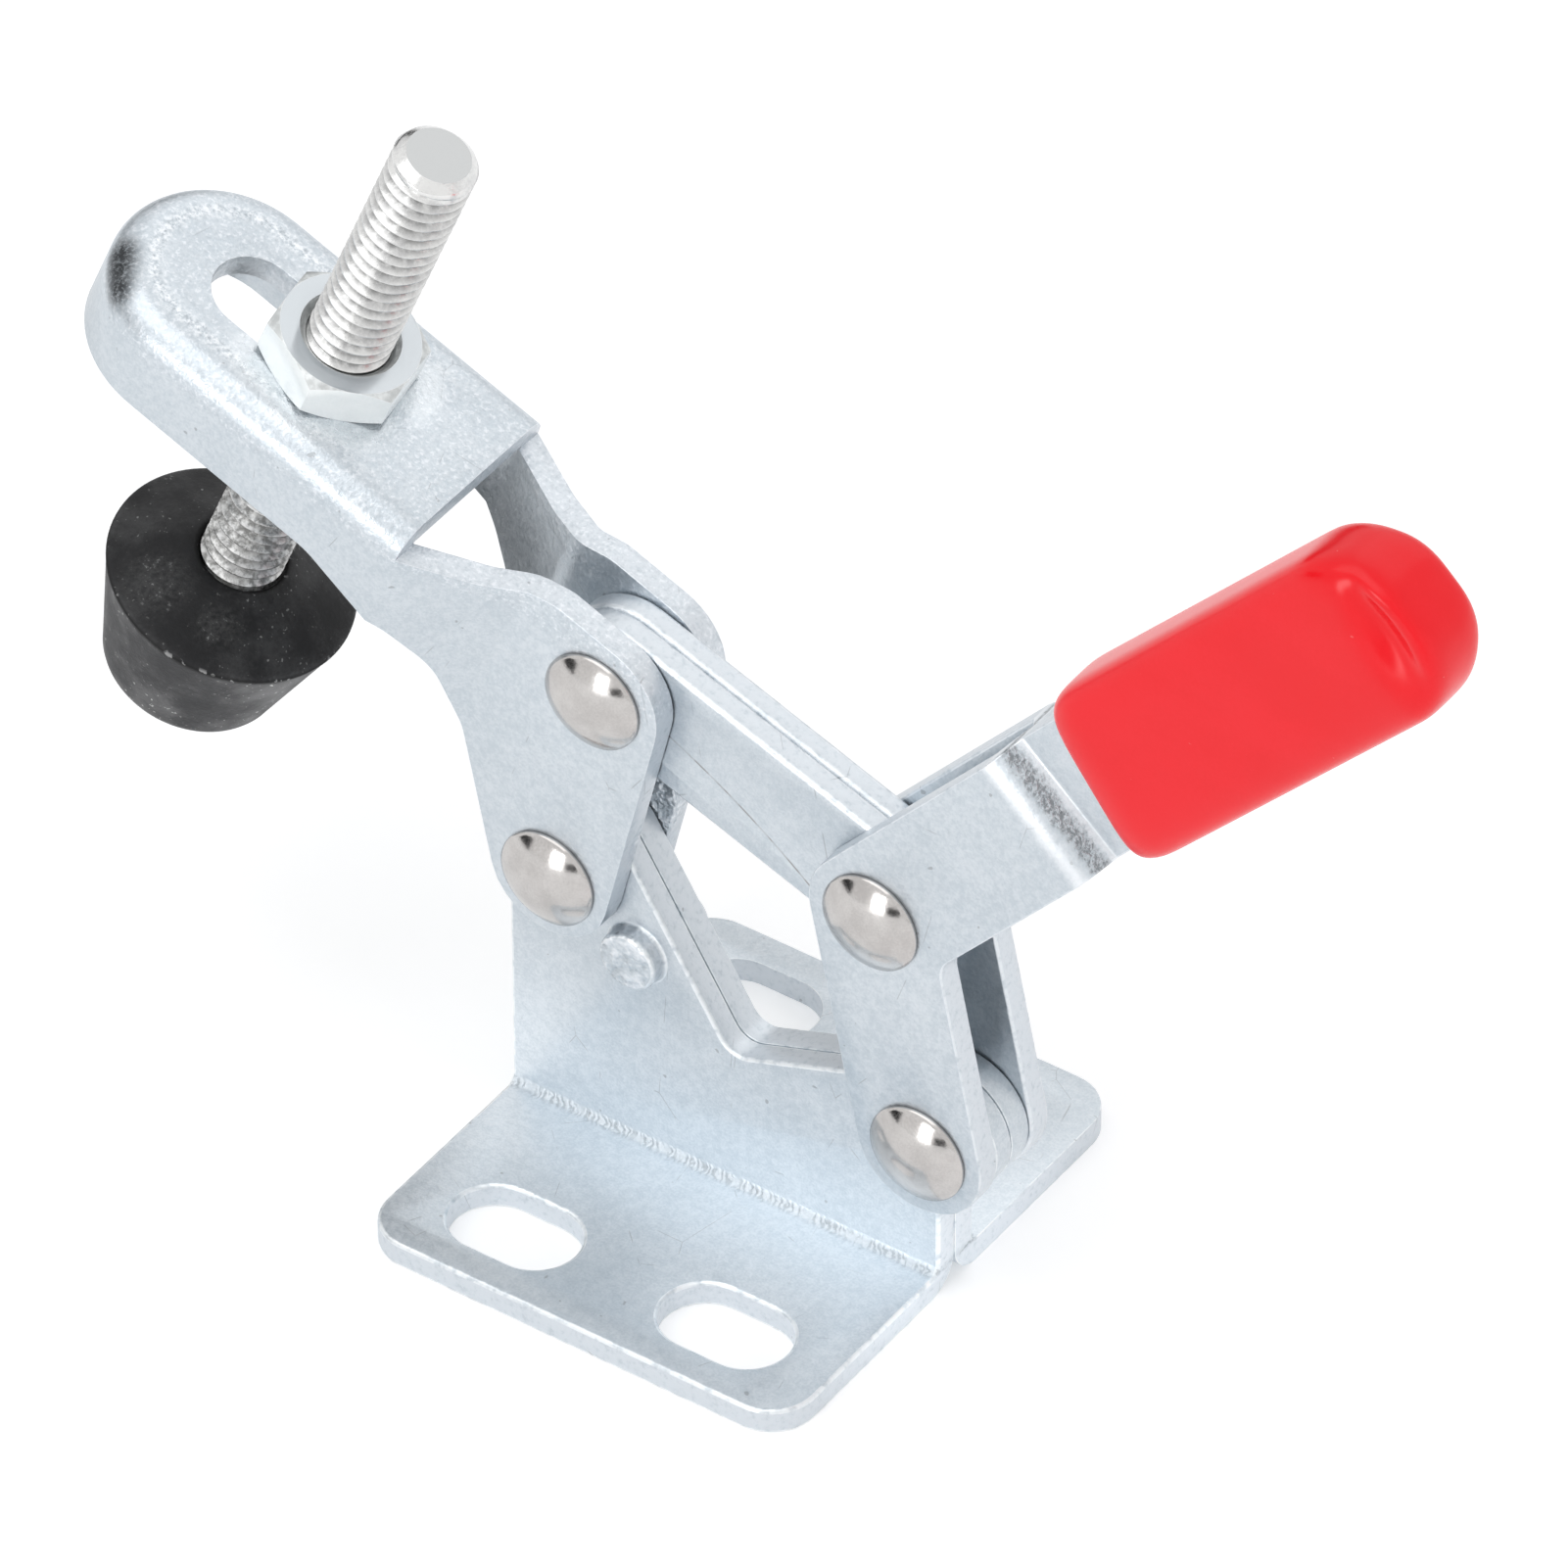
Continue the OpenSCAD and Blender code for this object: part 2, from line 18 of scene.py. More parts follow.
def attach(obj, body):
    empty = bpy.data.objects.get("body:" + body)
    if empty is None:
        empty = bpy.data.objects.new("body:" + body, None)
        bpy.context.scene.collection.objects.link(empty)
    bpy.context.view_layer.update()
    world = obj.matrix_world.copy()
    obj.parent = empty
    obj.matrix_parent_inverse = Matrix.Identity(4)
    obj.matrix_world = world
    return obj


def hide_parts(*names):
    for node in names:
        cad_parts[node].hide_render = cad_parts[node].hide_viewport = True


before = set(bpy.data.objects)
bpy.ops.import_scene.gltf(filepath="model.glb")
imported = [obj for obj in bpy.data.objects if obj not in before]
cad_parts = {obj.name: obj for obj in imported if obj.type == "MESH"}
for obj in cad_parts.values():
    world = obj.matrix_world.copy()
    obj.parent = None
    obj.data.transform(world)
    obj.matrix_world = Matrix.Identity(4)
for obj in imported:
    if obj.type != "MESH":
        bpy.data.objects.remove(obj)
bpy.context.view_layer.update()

log = logging.getLogger("toggle_clamp")
MM = 0.001
MERGE_MM = 0.002  # Corners closer than this are one.
LEVEL_MM = 0.01  # What is closer than this to a level lies on it.
SMOOTH_DEG = 35.0  # Edges that turn less are shaded smooth on most pieces.
Point = tuple[float, float, float] | Vector
Colour = tuple[float, float, float]
Pair = tuple[float, float]
Outline = list[Pair]


def clamp(number: float) -> float:
    """Limits a number to the range from 0 to 1."""
    return min(1.0, max(0.0, number))


@dataclass(frozen=True)
class Linkage:
    """The pivots of the folded linkage on the XZ plane, in millimetres, at the stored opening."""

    front: Pair = (-13.0, 24.2)
    rear: Pair = (17.5, 14.55)
    arm_throw: float = 18.0
    link_len: float = 24.2
    handle_throw: float = 19.1
    arm_open: float = 22.4
    handle_bend: float = 53.2
    stud_reach: float = 31.0
    outer_y: float = 4.1

    @property
    def upper(self) -> Vector:
        """The rivet between arm and link."""
        a, b = Vector(self.front), Vector(self.rear)
        span, straight = (b - a).length, self.link_len + self.handle_throw
        turn = math.acos((self.arm_throw**2 + span**2 - straight**2) / (2 * self.arm_throw * span))
        way = math.atan2(b.y - a.y, b.x - a.x) + turn - math.radians(self.arm_open)
        return a + self.arm_throw * Vector((math.cos(way), math.sin(way)))

    @property
    def knee(self) -> Vector:
        """The rivet between link and handle."""
        way = Vector(self.rear) - self.upper
        reach = way.length
        way /= reach
        foot = (self.link_len**2 - self.handle_throw**2 + reach**2) / (2 * reach)
        lift = math.sqrt(self.link_len**2 - foot**2)
        return self.upper + foot * way + lift * Vector((-way.y, way.x))

    def on_arm(self) -> Matrix:
        """The place of a drawing whose origin is the front pivot, with the web level."""
        turn = Matrix.Rotation(math.radians(self.arm_open), 4, "Y")
        return Matrix.Translation((self.front[0], 0, self.front[1])) @ turn

    def on_spindle(self) -> Matrix:
        """The place of a drawing whose Z axis is the stud's."""
        return self.on_arm() @ Matrix.Translation((-self.stud_reach, 0, 0))

    def on_grip(self) -> Matrix:
        """The place of a drawing that runs along X from the knee rivet."""
        leg = self.knee - Vector(self.rear)
        turn = math.atan2(leg.y, leg.x) - math.radians(self.handle_bend)
        return Matrix.Translation((self.knee.x, 0, self.knee.y)) @ Matrix.Rotation(-turn, 4, "Y")


class Value:
    """A node socket whose arithmetic adds Math nodes to its graph."""

    def __init__(self, graph: "Graph", socket: NodeSocket) -> None:
        self.graph, self.socket = graph, socket

    def maths(self, operation: str, *others: "Value | float") -> "Value":
        """Adds a Math node, whose first input this value is."""
        values = dict(enumerate((self, *others)))
        return self.graph.node("Math", {"operation": operation}, values)

    def __add__(self, other: "Value | float") -> "Value":
        """The sum."""
        return self.maths("ADD", other)

    __radd__ = __add__

    def __mul__(self, other: "Value | float") -> "Value":
        """The product."""
        return self.maths("MULTIPLY", other)

    def __sub__(self, other: "Value | float") -> "Value":
        """The difference."""
        return self.maths("SUBTRACT", other)

    def __rsub__(self, other: float) -> "Value":
        """A number less this value."""
        return self.graph.node("Math", {"operation": "SUBTRACT"}, {0: other, 1: self})

    def between(self, low: float, high: float) -> "Value":
        """A smooth step from 0 at low to 1 at high, where high may be the smaller one."""
        values = {"Value": self, "From Min": low, "From Max": high}
        return self.graph.node("MapRange", {"interpolation_type": "SMOOTHSTEP"}, values)

    def hypot(self, other: "Value") -> "Value":
        """The distance that two sides of a right angle span."""
        return (self * self + other * other).maths("SQRT")

    def near(self, centre: float, reach: float) -> "Value":
        """A smooth hump that is 1 at centre and 0 beyond reach."""
        return (self - centre).maths("ABSOLUTE").between(reach, 0.0)


class Graph:
    """The node tree of one material or world."""

    def __init__(self, owner: Material | World) -> None:
        owner.use_nodes = True
        self.tree = owner.node_tree
        self.tree.nodes.clear()

    def node(
        self,
        kind: str,
        settings: dict[str, object] | None = None,
        values: dict[str | int, object] | None = None,
        output: str | int = 0,
    ) -> Value:
        """Adds a node.

        Args:
            kind: The node's type, without ShaderNode before it.
            settings: Its properties, set before its sockets.
            values: What goes into its sockets, by name or number.
            output: The socket that is handed back.

        Returns:
            The chosen output.
        """
        made = self.tree.nodes.new(f"ShaderNode{kind}")
        for name, setting in (settings or {}).items():
            setattr(made, name, setting)
        for name, value in (values or {}).items():
            if isinstance(value, Value):
                self.tree.links.new(value.socket, made.inputs[name])
            else:
                made.inputs[name].default_value = value
        return Value(self, made.outputs[output])

    @cached_property
    def place(self) -> Value:
        """The object coordinates, in millimetres."""
        spot = self.node("TexCoord", output="Object")
        return self.node("VectorMath", {"operation": "SCALE"}, {0: spot, "Scale": 1 / MM})

    def attribute(self, name: str) -> Value:
        """A number stored on the mesh."""
        return self.node("Attribute", {"attribute_name": name}, output="Fac")

    def measure(self, operation: str, other: Point) -> Value:
        """A number that a vector operation finds from the place."""
        values = {0: self.place, 1: other}
        return self.node("VectorMath", {"operation": operation}, values, "Value")

    def along(self, way: Point, origin: Point = (0, 0, 0)) -> Value:
        """How far the place lies from the origin in one direction."""
        return self.measure("DOT_PRODUCT", way) - Vector(way).dot(Vector(origin))

    def away(self, centre: Point) -> Value:
        """The distance of the place from a point."""
        return self.measure("DISTANCE", centre)

    def turned(self, turn: Point, size: Point = (1, 1, 1)) -> Value:
        """The place turned by Euler angles in degrees, then scaled."""
        angles = tuple(math.radians(a) for a in turn)
        values = {"Vector": self.place, "Rotation": angles, "Scale": size}
        return self.node("Mapping", values=values)

    def noise(
        self, grain: float, detail: float = 2.0, rough: float = 0.5, place: Value | None = None
    ) -> Value:
        """Noise round 0.5, with clouds of a size in millimetres and finer layers of a strength."""
        values = {"Scale": 1 / grain, "Detail": detail, "Roughness": rough}
        return self.node("TexNoise", values={"Vector": place or self.place, **values})

    def mix(self, share: Value | float, a: Value | Colour, b: Value | Colour) -> Value:
        """A blend of two colours."""
        sockets = [c if isinstance(c, Value) else (*c, 1.0) for c in (a, b)]
        values = {0: share, 6: sockets[0], 7: sockets[1]}
        return self.node("Mix", {"data_type": "RGBA"}, values, 2)

    def seen(self, *kinds: str) -> Value:
        """1 for rays of any of these kinds."""
        rays = [self.node("LightPath", output=f"Is {kind} Ray") for kind in kinds]
        return reduce(lambda one, other: one.maths("MAXIMUM", other), rays)

    def surface(self, shader: Value, kind: str = "OutputMaterial") -> None:
        """Joins a shader to the output."""
        output = self.tree.nodes.new(f"ShaderNode{kind}")
        self.tree.links.new(shader.socket, output.inputs["Surface"])


@dataclass
class Coat:
    """A finish while its wear and painted light are added: colour, roughness and height in
    millimetres.
    """

    graph: Graph
    colour: Value
    rough: Value
    height: Value

    def tint(self, share: Value, colour: Colour) -> None:
        """Blends a colour in."""
        self.colour = self.graph.mix(share, self.colour, colour)

    def brighten(self, gain: Value) -> None:
        """Multiplies the colour."""
        values = {0: self.colour, "Scale": gain}
        self.colour = self.graph.node("VectorMath", {"operation": "SCALE"}, values)

    def close(self, metallic: Value | float, specular: float = 0.5) -> None:
        """Joins everything to one shader, with how strongly it mirrors where it isn't metallic."""
        g = self.graph
        values = {
            "Base Color": self.colour,
            "Roughness": self.rough,
            "Metallic": metallic,
            "Specular IOR Level": specular,
            "Normal": g.node("Bump", values={"Height": self.height, "Distance": MM}),
        }
        g.surface(g.node("BsdfPrincipled", values=values))


class WearOrPaintedLight(Protocol):
    """Something that use or the press has left on a coat, or light or shade painted onto it."""

    def mark(self, coat: Coat) -> None:
        """Adds itself to a coat."""


@dataclass(frozen=True)
class DarkPatch:
    """A dark patch with bright grains in it: partly rubbed, rough metal and partly painted dark
    reflection or shade.
    """

    centre: Point
    reach: float
    darkness: float = 0.95

    def mark(self, coat: Coat) -> None:
        """Paints the patch dark and roughens it."""
        g = coat.graph
        near = g.away(self.centre).between(self.reach, self.reach * 0.1)
        grains = g.noise(0.26, 3.0, 0.7).between(0.46, 0.64)
        # Painted shade: this dark tint stands partly for a dark reflection.
        coat.tint(near * (1 - grains * 0.4) * self.darkness, (0.03, 0.032, 0.035))
        coat.height += near * grains * 0.02


@dataclass(frozen=True)
class GrainyBandPaintedLight:
    """A grainy band across a bend, darkened by painted reflection, between two lines of painted
    highlight.
    """

    way: Point
    origin: Point
    at: float
    half_width: float
    darkness: float = 0.72

    def mark(self, coat: Coat) -> None:
        """Paints the band dark and paints highlights along its edges."""
        g = coat.graph
        reach = g.along(self.way, self.origin)
        wobble = (g.noise(0.8, 3.0, 0.7) - 0.5) * 0.9
        band = (reach + wobble).near(self.at, self.half_width)
        after = (reach + wobble * 0.4).near(self.at + self.half_width * 1.05, 0.42)
        before = (reach + wobble * 0.3).near(self.at - self.half_width * 1.9, 0.95)
        grains = g.noise(0.26, 3.0, 0.7, g.turned((0, -40, 0), (1, 1, 0.45))).between(0.4, 0.62)
        # Painted highlights beside the band.
        coat.tint(after * 0.35 + before * 0.5, (0.95, 0.96, 0.98))
        # Painted dark reflection over the grainy band.
        dark = band.between(0.0, 0.75) * (1 - grains * 0.72) * self.darkness
        coat.tint(dark, (0.085, 0.09, 0.095))
        coat.height += band * grains * 0.03


@dataclass(frozen=True)
class RoughRing:
    """The rough line that the forming punch leaves round the slot of the arm."""

    along: Point
    up: Point
    origin: Point
    nose: float
    radius: float
    web: float

    def mark(self, coat: Coat) -> None:
        """Roughens the web, flecks the line and paints shade in the sunk band inside it."""
        g = coat.graph
        reach = g.along(self.along, self.origin)
        past = (reach - self.nose).maths("MINIMUM", 0.0)
        side = g.along((0, 1, 0))
        away = past.hypot(side)
        top = g.along(self.up, self.origin).between(self.web - 3.4, self.web - 2.6)
        front = reach.between(-20.0, -33.0) * top
        line = away.near(self.radius, 0.95) * front
        sunk = away.near(self.radius - 1.7, 1.3) * front
        peel = g.noise(0.34, 2.0, 0.6)
        flecks = g.noise(0.42, 3.0, 0.7)
        # Painted shade in the sunk band between the line and the slot.
        coat.tint(sunk * 0.22, (0.5, 0.54, 0.58))
        coat.tint(line * flecks.between(0.46, 0.6) * 0.75, (0.94, 0.96, 0.98))
        coat.tint(line * flecks.between(0.46, 0.34) * 0.55, (0.3, 0.33, 0.36))
        coat.tint(top * peel.between(0.53, 0.68) * 0.45, (0.9, 0.92, 0.96))
        coat.tint(top * peel.between(0.46, 0.34) * 0.25, (0.42, 0.46, 0.5))
        coat.height = coat.height + line * flecks * 0.11 + top * peel * 0.036


@dataclass(frozen=True)
class CoinedLine:
    """The broken, slanting ticks along the bend between web and foot."""

    at_z: float = 2.22
    half_width: float = 0.46
    out_y: float = 3.0
    dull: Colour = (0.5, 0.55, 0.59)

    def mark(self, coat: Coat) -> None:
        """Flecks the bend."""
        g = coat.graph
        line = g.along((0, 0, 1)).near(self.at_z, self.half_width)
        line *= g.along((0, 1, 0)).maths("ABSOLUTE").between(self.out_y, self.out_y - 0.5)
        values = {
            "Vector": g.turned((0, 35, 0)),
            "Scale": 0.78,
            "Distortion": 9.0,
            "Detail": 3.0,
            "Detail Scale": 1.9,
        }
        ticks = g.node("TexWave", {"bands_direction": "X"}, values)
        gaps = g.noise(1.3, 2.0).between(0.3, 0.5)
        coat.tint(line * 0.25, self.dull)
        coat.tint(line * gaps * ticks.between(0.6, 0.95) * 0.3, (0.84, 0.87, 0.9))
        coat.tint(line * gaps * ticks.between(0.45, 0.1) * 0.5, (0.3, 0.34, 0.37))
        coat.rough += line * 0.22
        coat.height += line * gaps * ticks * 0.04


@dataclass(frozen=True)
class PaintedBendLight:
    """Painted light that lifts the colour near the bend between web and foot."""

    bend: float = 2.0
    reach: float = 16.0
    gain: float = 0.26

    def mark(self, coat: Coat) -> None:
        """Paints light into the corner."""
        g = coat.graph
        out = g.along((0, 1, 0)).maths("ABSOLUTE") - self.bend
        up = g.along((0, 0, 1)) - self.bend
        away = out.hypot(up)
        coat.brighten(away.between(self.reach, 2.0) * self.gain + 1)


@dataclass(frozen=True)
class ScribedArc:
    """A hairline that a turning neighbour has rubbed into a plate."""

    centre: Pair
    radius: float
    half_width: float = 0.12

    def mark(self, coat: Coat) -> None:
        """Darkens the hairline."""
        g = coat.graph
        over = g.along((1, 0, 0)) - self.centre[0]
        up = g.along((0, 0, 1)) - self.centre[1]
        line = over.hypot(up).near(self.radius, self.half_width)
        broken = g.noise(1.2, 2.0).between(0.34, 0.6)
        coat.tint(line * (broken * 0.6 + 0.3), (0.25, 0.24, 0.23))


@dataclass(frozen=True)
class Hammered:
    """Lumpy metal, dented by the press, with painted highlights on its high spots and painted shade
    in its dents.
    """

    centre: Point
    reach: float
    grain: float
    depth: float

    def mark(self, coat: Coat) -> None:
        """Dents the place, paints highlights on its high spots and paints shade in its dents."""
        g = coat.graph
        near = g.away(self.centre).between(self.reach, self.reach * 0.75)
        lumps = g.noise(self.grain, 2.0, 0.5)
        # Painted highlight and painted shade that follow the lumps.
        coat.tint(near * lumps.between(0.5, 0.66) * 0.55, (0.92, 0.94, 0.97))
        coat.tint(near * lumps.between(0.46, 0.34) * 0.4, (0.36, 0.4, 0.43))
        coat.height += near * lumps * self.depth


@dataclass(frozen=True)
class NutLightPool:
    """A ring of painted light round a nut on a web, where the web is also made smoother."""

    axis: Point
    origin: Point
    outer: float = 8.2

    def mark(self, coat: Coat) -> None:
        """Paints light on the ring and smooths it."""
        g = coat.graph
        reach = g.away(self.origin)
        up = g.along(self.axis, self.origin)
        away = (reach * reach - up * up).maths("SQRT")
        ring = away.between(self.outer, self.outer - 1.4) * up.maths("ABSOLUTE").between(0.6, 0.3)
        patch = g.noise(3.4, 1.0).between(0.38, 0.56)
        # Painted light, standing for light reflected from the nut.
        coat.tint(ring * patch * 0.3, (0.9, 0.93, 0.95))
        coat.rough -= ring * patch * 0.08


@dataclass(frozen=True)
class DarkerBelow:
    """Darker, rougher spots on the lower end of a screw."""

    axis: Point
    origin: Point
    fade_from: float
    fade_to: float

    def mark(self, coat: Coat) -> None:
        """Darkens the thread in spots, from the upper height down to the lower one."""
        g = coat.graph
        low = g.along(self.axis, self.origin).between(self.fade_from, self.fade_to)
        spots = g.noise(0.55, 4.0, 0.7)
        coat.tint(low * spots.between(0.62, 0.36) * 0.85, (0.13, 0.13, 0.125))
        coat.rough += low * 0.12


@dataclass(frozen=True)
class Dusting:
    """A pale dusty patch on rubber."""

    centre: Point
    reach: float

    def mark(self, coat: Coat) -> None:
        """Lightens the patch in fine grains."""
        g = coat.graph
        near = g.away(self.centre).between(self.reach, self.reach * 0.25)
        grains = g.noise(0.45, 4.0, 0.75)
        coat.tint(near * grains.between(0.36, 0.62) * 0.75, (0.06, 0.06, 0.06))
        coat.tint(near * grains.between(0.62, 0.7) * 0.6, (0.36, 0.36, 0.36))


@dataclass(frozen=True)
class PaintedSideLight:
    """Painted light on the side of the rubber tip, below its rim."""

    axis: Point
    origin: Point
    rim: float
    gain: float = 1.6

    def mark(self, coat: Coat) -> None:
        """Paints light on the side."""
        low = coat.graph.along(self.axis, self.origin).between(self.rim + 0.2, self.rim - 0.2)
        coat.brighten(low * self.gain + 1)


@dataclass(frozen=True)
class Finish:
    """The look of a material: two tones that a noise blends, and the wear and painted light or
    shade added to them.
    """

    name: str
    light: Colour
    deep: Colour
    wears_and_painted_light: tuple[WearOrPaintedLight, ...] = ()

    def make(self) -> Material:
        """Builds the material."""
        material = bpy.data.materials.new(self.name)
        self.paint(Graph(material))
        return material

    def paint(self, g: Graph) -> None:
        """Builds its nodes."""
        raise NotImplementedError

    def coat(self, g: Graph, tone: Value, rough: Value, height: Value) -> Coat:
        """Starts a coat that is deep where its tone is 0 and light where it is 1."""
        return Coat(g, g.mix(tone, self.deep, self.light), rough, height)

    def wear(self, coat: Coat) -> None:
        """Adds every wear and every painted light or shade to a coat."""
        for wear in self.wears_and_painted_light:
            wear.mark(coat)


@dataclass(frozen=True)
class ZincSheet(Finish):
    """Satin zinc on stamped sheet, with a fine grain, rough sheared sides and edges brightened by
    painted highlight.
    """

    light: Colour = (0.655, 0.698, 0.736)
    deep: Colour = (0.53, 0.585, 0.63)
    sheared: Colour = (0.665, 0.705, 0.745)
    # The colour of the painted highlight on the rounded edges.
    polished: Colour = (0.83, 0.86, 0.89)
    roughness: float = 0.38
    metallic: float = 0.9
    scratch_cell: float = 7.0

    def paint(self, g: Graph) -> None:
        """Builds its nodes."""
        grain = g.noise(0.2, 2.0, 0.6)
        cloud = g.noise(3.2, 3.0, 0.6)
        speck = g.noise(0.55, 2.0)
        tone = (cloud * 0.2 + speck * 0.34 + grain * 0.46).between(0.34, 0.66)
        rough = self.roughness + (speck - 0.5) * 0.14 + (grain - 0.5) * 0.16
        coat = self.coat(g, tone, rough, grain * 0.012 + speck * 0.028)
        edge, rim = g.attribute("edge"), g.attribute("rim")
        streak = g.noise(0.45, 3.0, 0.55)
        chips = g.noise(0.9, 2.0, 0.6)
        coat.tint(rim * streak.between(0.26, 0.56), self.sheared)
        coat.tint(rim * streak.between(0.4, 0.28) * 0.14, (0.42, 0.45, 0.48))
        # Painted highlight on the rounded edges.
        coat.tint(edge * chips.between(0.3, 0.56) * 0.6, self.polished)
        coat.rough = coat.rough - edge * 0.02 + rim * 0.05
        coat.height = coat.height + rim * streak * 0.022 + edge * streak * 0.035
        cells = {"Vector": g.turned((12, 30, 8), (1, 1, 0.55)), "Scale": 1 / self.scratch_cell}
        hair = g.node("TexVoronoi", {"feature": "DISTANCE_TO_EDGE"}, cells).between(0.006, 0.0)
        coat.tint(hair * g.noise(2.6, 1.0).between(0.58, 0.66) * 0.5, (0.27, 0.28, 0.29))
        spots = g.noise(0.85, 1.0).between(0.775, 0.8)
        coat.tint(spots * 0.5, (0.25, 0.26, 0.27))
        self.wear(coat)
        coat.close(self.metallic)


@dataclass(frozen=True)
class PolishedNickel(Finish):
    """Smooth warm grey nickel on the rivets, with a fine grain and painted shade round the seat."""

    name: str = "polished_nickel"
    light: Colour = (0.59, 0.57, 0.555)
    deep: Colour = (0.48, 0.46, 0.448)

    def paint(self, g: Graph) -> None:
        """Builds its nodes."""
        hair = g.noise(0.16, 2.0, 0.6)
        cloud = g.noise(1.8, 2.0)
        tone = (cloud * 0.6 + hair * 0.4).between(0.3, 0.7)
        rough = 0.15 + (cloud - 0.5) * 0.06 + (hair - 0.5) * 0.08
        coat = self.coat(g, tone, rough, hair * 0.0022 + cloud * 0.016)
        # Painted shade where the head meets the plate.
        coat.tint(g.attribute("seat_shade") * 0.85, (0.035, 0.035, 0.038))
        coat.close(1.0)


@dataclass(frozen=True)
class BrightZinc(Finish):
    """Bright plating on a screw thread or a nut, with painted shade and dirt in its thread roots,
    painted shade on its chamfers and end faces, and painted highlights on its edges.
    """

    root: Colour = (0.07, 0.07, 0.07)
    flat: Colour = (0.66, 0.7, 0.73)
    metallic: float = 0.95
    flat_metallic: float = 0.5
    roughness: float = 0.22
    grain: float = 0.01

    def paint(self, g: Graph) -> None:
        """Builds its nodes."""
        grain = g.noise(0.22, 3.0, 0.6)
        cloud = g.noise(1.6, 2.0)
        tone = (cloud * 0.6 + grain * 0.4).between(0.34, 0.62)
        rough = self.roughness + (grain - 0.5) * 0.16
        coat = self.coat(g, tone, rough, grain * self.grain)
        dirt_and_shade = g.noise(0.7, 3.0, 0.6).between(0.28, 0.62)
        # Painted shade in the thread roots and on the nut's chamfers, mixed with dirt.
        coat.tint(g.attribute("root") * (0.26 + dirt_and_shade * 0.6), self.root)
        # Painted shade: flat end faces get a darker, less metallic colour.
        flat = g.attribute("rim")
        coat.tint(flat, self.flat)
        # Painted highlight on the rounded edges.
        coat.tint(g.attribute("edge") * 0.6, (0.93, 0.95, 0.96))
        self.wear(coat)
        coat.close(flat * (self.flat_metallic - self.metallic) + self.metallic)


@dataclass(frozen=True)
class DippedVinyl(Finish):
    """Glossy red dip, a little uneven where it ran."""

    name: str = "red_vinyl"
    light: Colour = (0.96, 0.006, 0.015)
    deep: Colour = (0.93, 0.003, 0.01)

    def paint(self, g: Graph) -> None:
        """Builds its nodes."""
        run = g.noise(5.0, place=g.turned((0, -48, 0), (0.4, 1, 1)))
        peel = g.noise(0.28, 2.0, 0.6)
        tone = (run * 0.7 + peel * 0.3).between(0.35, 0.65)
        rough = 0.25 + (run - 0.5) * 0.04
        coat = self.coat(g, tone, rough, run * 0.05 + peel * 0.0004)
        pins = g.noise(0.55, 1.0).between(0.8, 0.83)
        coat.tint(pins * 0.35, (0.95, 0.22, 0.22))
        coat.close(0.0, 0.35)


@dataclass(frozen=True)
class MouldedRubber(Finish):
    """Matte black rubber with a dusty bloom, specks, and darker lines with pale flakes along its
    rim and round the stud.
    """

    name: str = "black_rubber"
    light: Colour = (0.047, 0.047, 0.048)
    deep: Colour = (0.013, 0.013, 0.014)

    def paint(self, g: Graph) -> None:
        """Builds its nodes."""
        bloom = g.noise(5.5, 4.0, 0.6)
        grain = g.noise(0.28, 3.0, 0.7)
        tone = (bloom * 0.78 + grain * 0.22).between(0.42, 0.66)
        rough = 0.5 + (0.5 - bloom) * 0.5 + (grain - 0.5) * 0.2
        coat = self.coat(g, tone, rough, grain * 0.03 + bloom * 0.1)
        dust = g.noise(0.3, 1.0).between(0.68, 0.76) * bloom.between(0.4, 0.6)
        flake = g.noise(0.95, 2.0, 0.6).between(0.74, 0.76)
        coat.tint(dust * 0.4 + flake * 0.55, (0.45, 0.45, 0.44))
        self.wear(coat)
        rim_lines = g.attribute("rim_lines")
        # Darker along the rim and round the stud, with pale flakes.
        coat.tint(rim_lines * 0.85, (0.004, 0.004, 0.004))
        coat.tint(rim_lines * g.noise(0.8, 3.0, 0.6).between(0.6, 0.66) * 0.8, (0.4, 0.4, 0.4))
        coat.close(0.0, 0.22)


def keep(mesh: BMesh, name: str, material: Material, smooth_deg: float = SMOOTH_DEG) -> Object:
    """Turns a finished bmesh into an object at the origin.

    Args:
        mesh: The finished shape in metres. It is freed.
        name: The piece's name.
        material: Its finish.
        smooth_deg: Edges that turn less than this are shaded smooth.

    Returns:
        The new object.
    """
    limit = math.radians(smooth_deg)
    for face in mesh.faces:
        face.smooth = True
    for edge in mesh.edges:
        edge.smooth = len(edge.link_faces) == 2 and edge.calc_face_angle() < limit
    data = bpy.data.meshes.new(name)
    mesh.to_mesh(data)
    mesh.free()
    data.materials.append(material)
    made = bpy.data.objects.new(name, data)
    bpy.context.collection.objects.link(made)
    return made


def add_piece(
    mesh: BMesh, node: str, material: Material, body: str, smooth_deg: float = SMOOTH_DEG
) -> Object:
    """Turns a finished bmesh into the piece that stands for a CAD node.

    Args:
        mesh: The finished shape in metres. It is freed.
        node: The CAD node.
        material: Its finish.
        body: The CAD body it moves with.
        smooth_deg: Edges that turn less than this are shaded smooth.

    Returns:
        The piece.
    """
    made = keep(mesh, f"{node}_dressed", material, smooth_deg)
    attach(made, body)
    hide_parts(node)
    log.info("%s: %d faces", made.name, len(made.data.polygons))
    return made


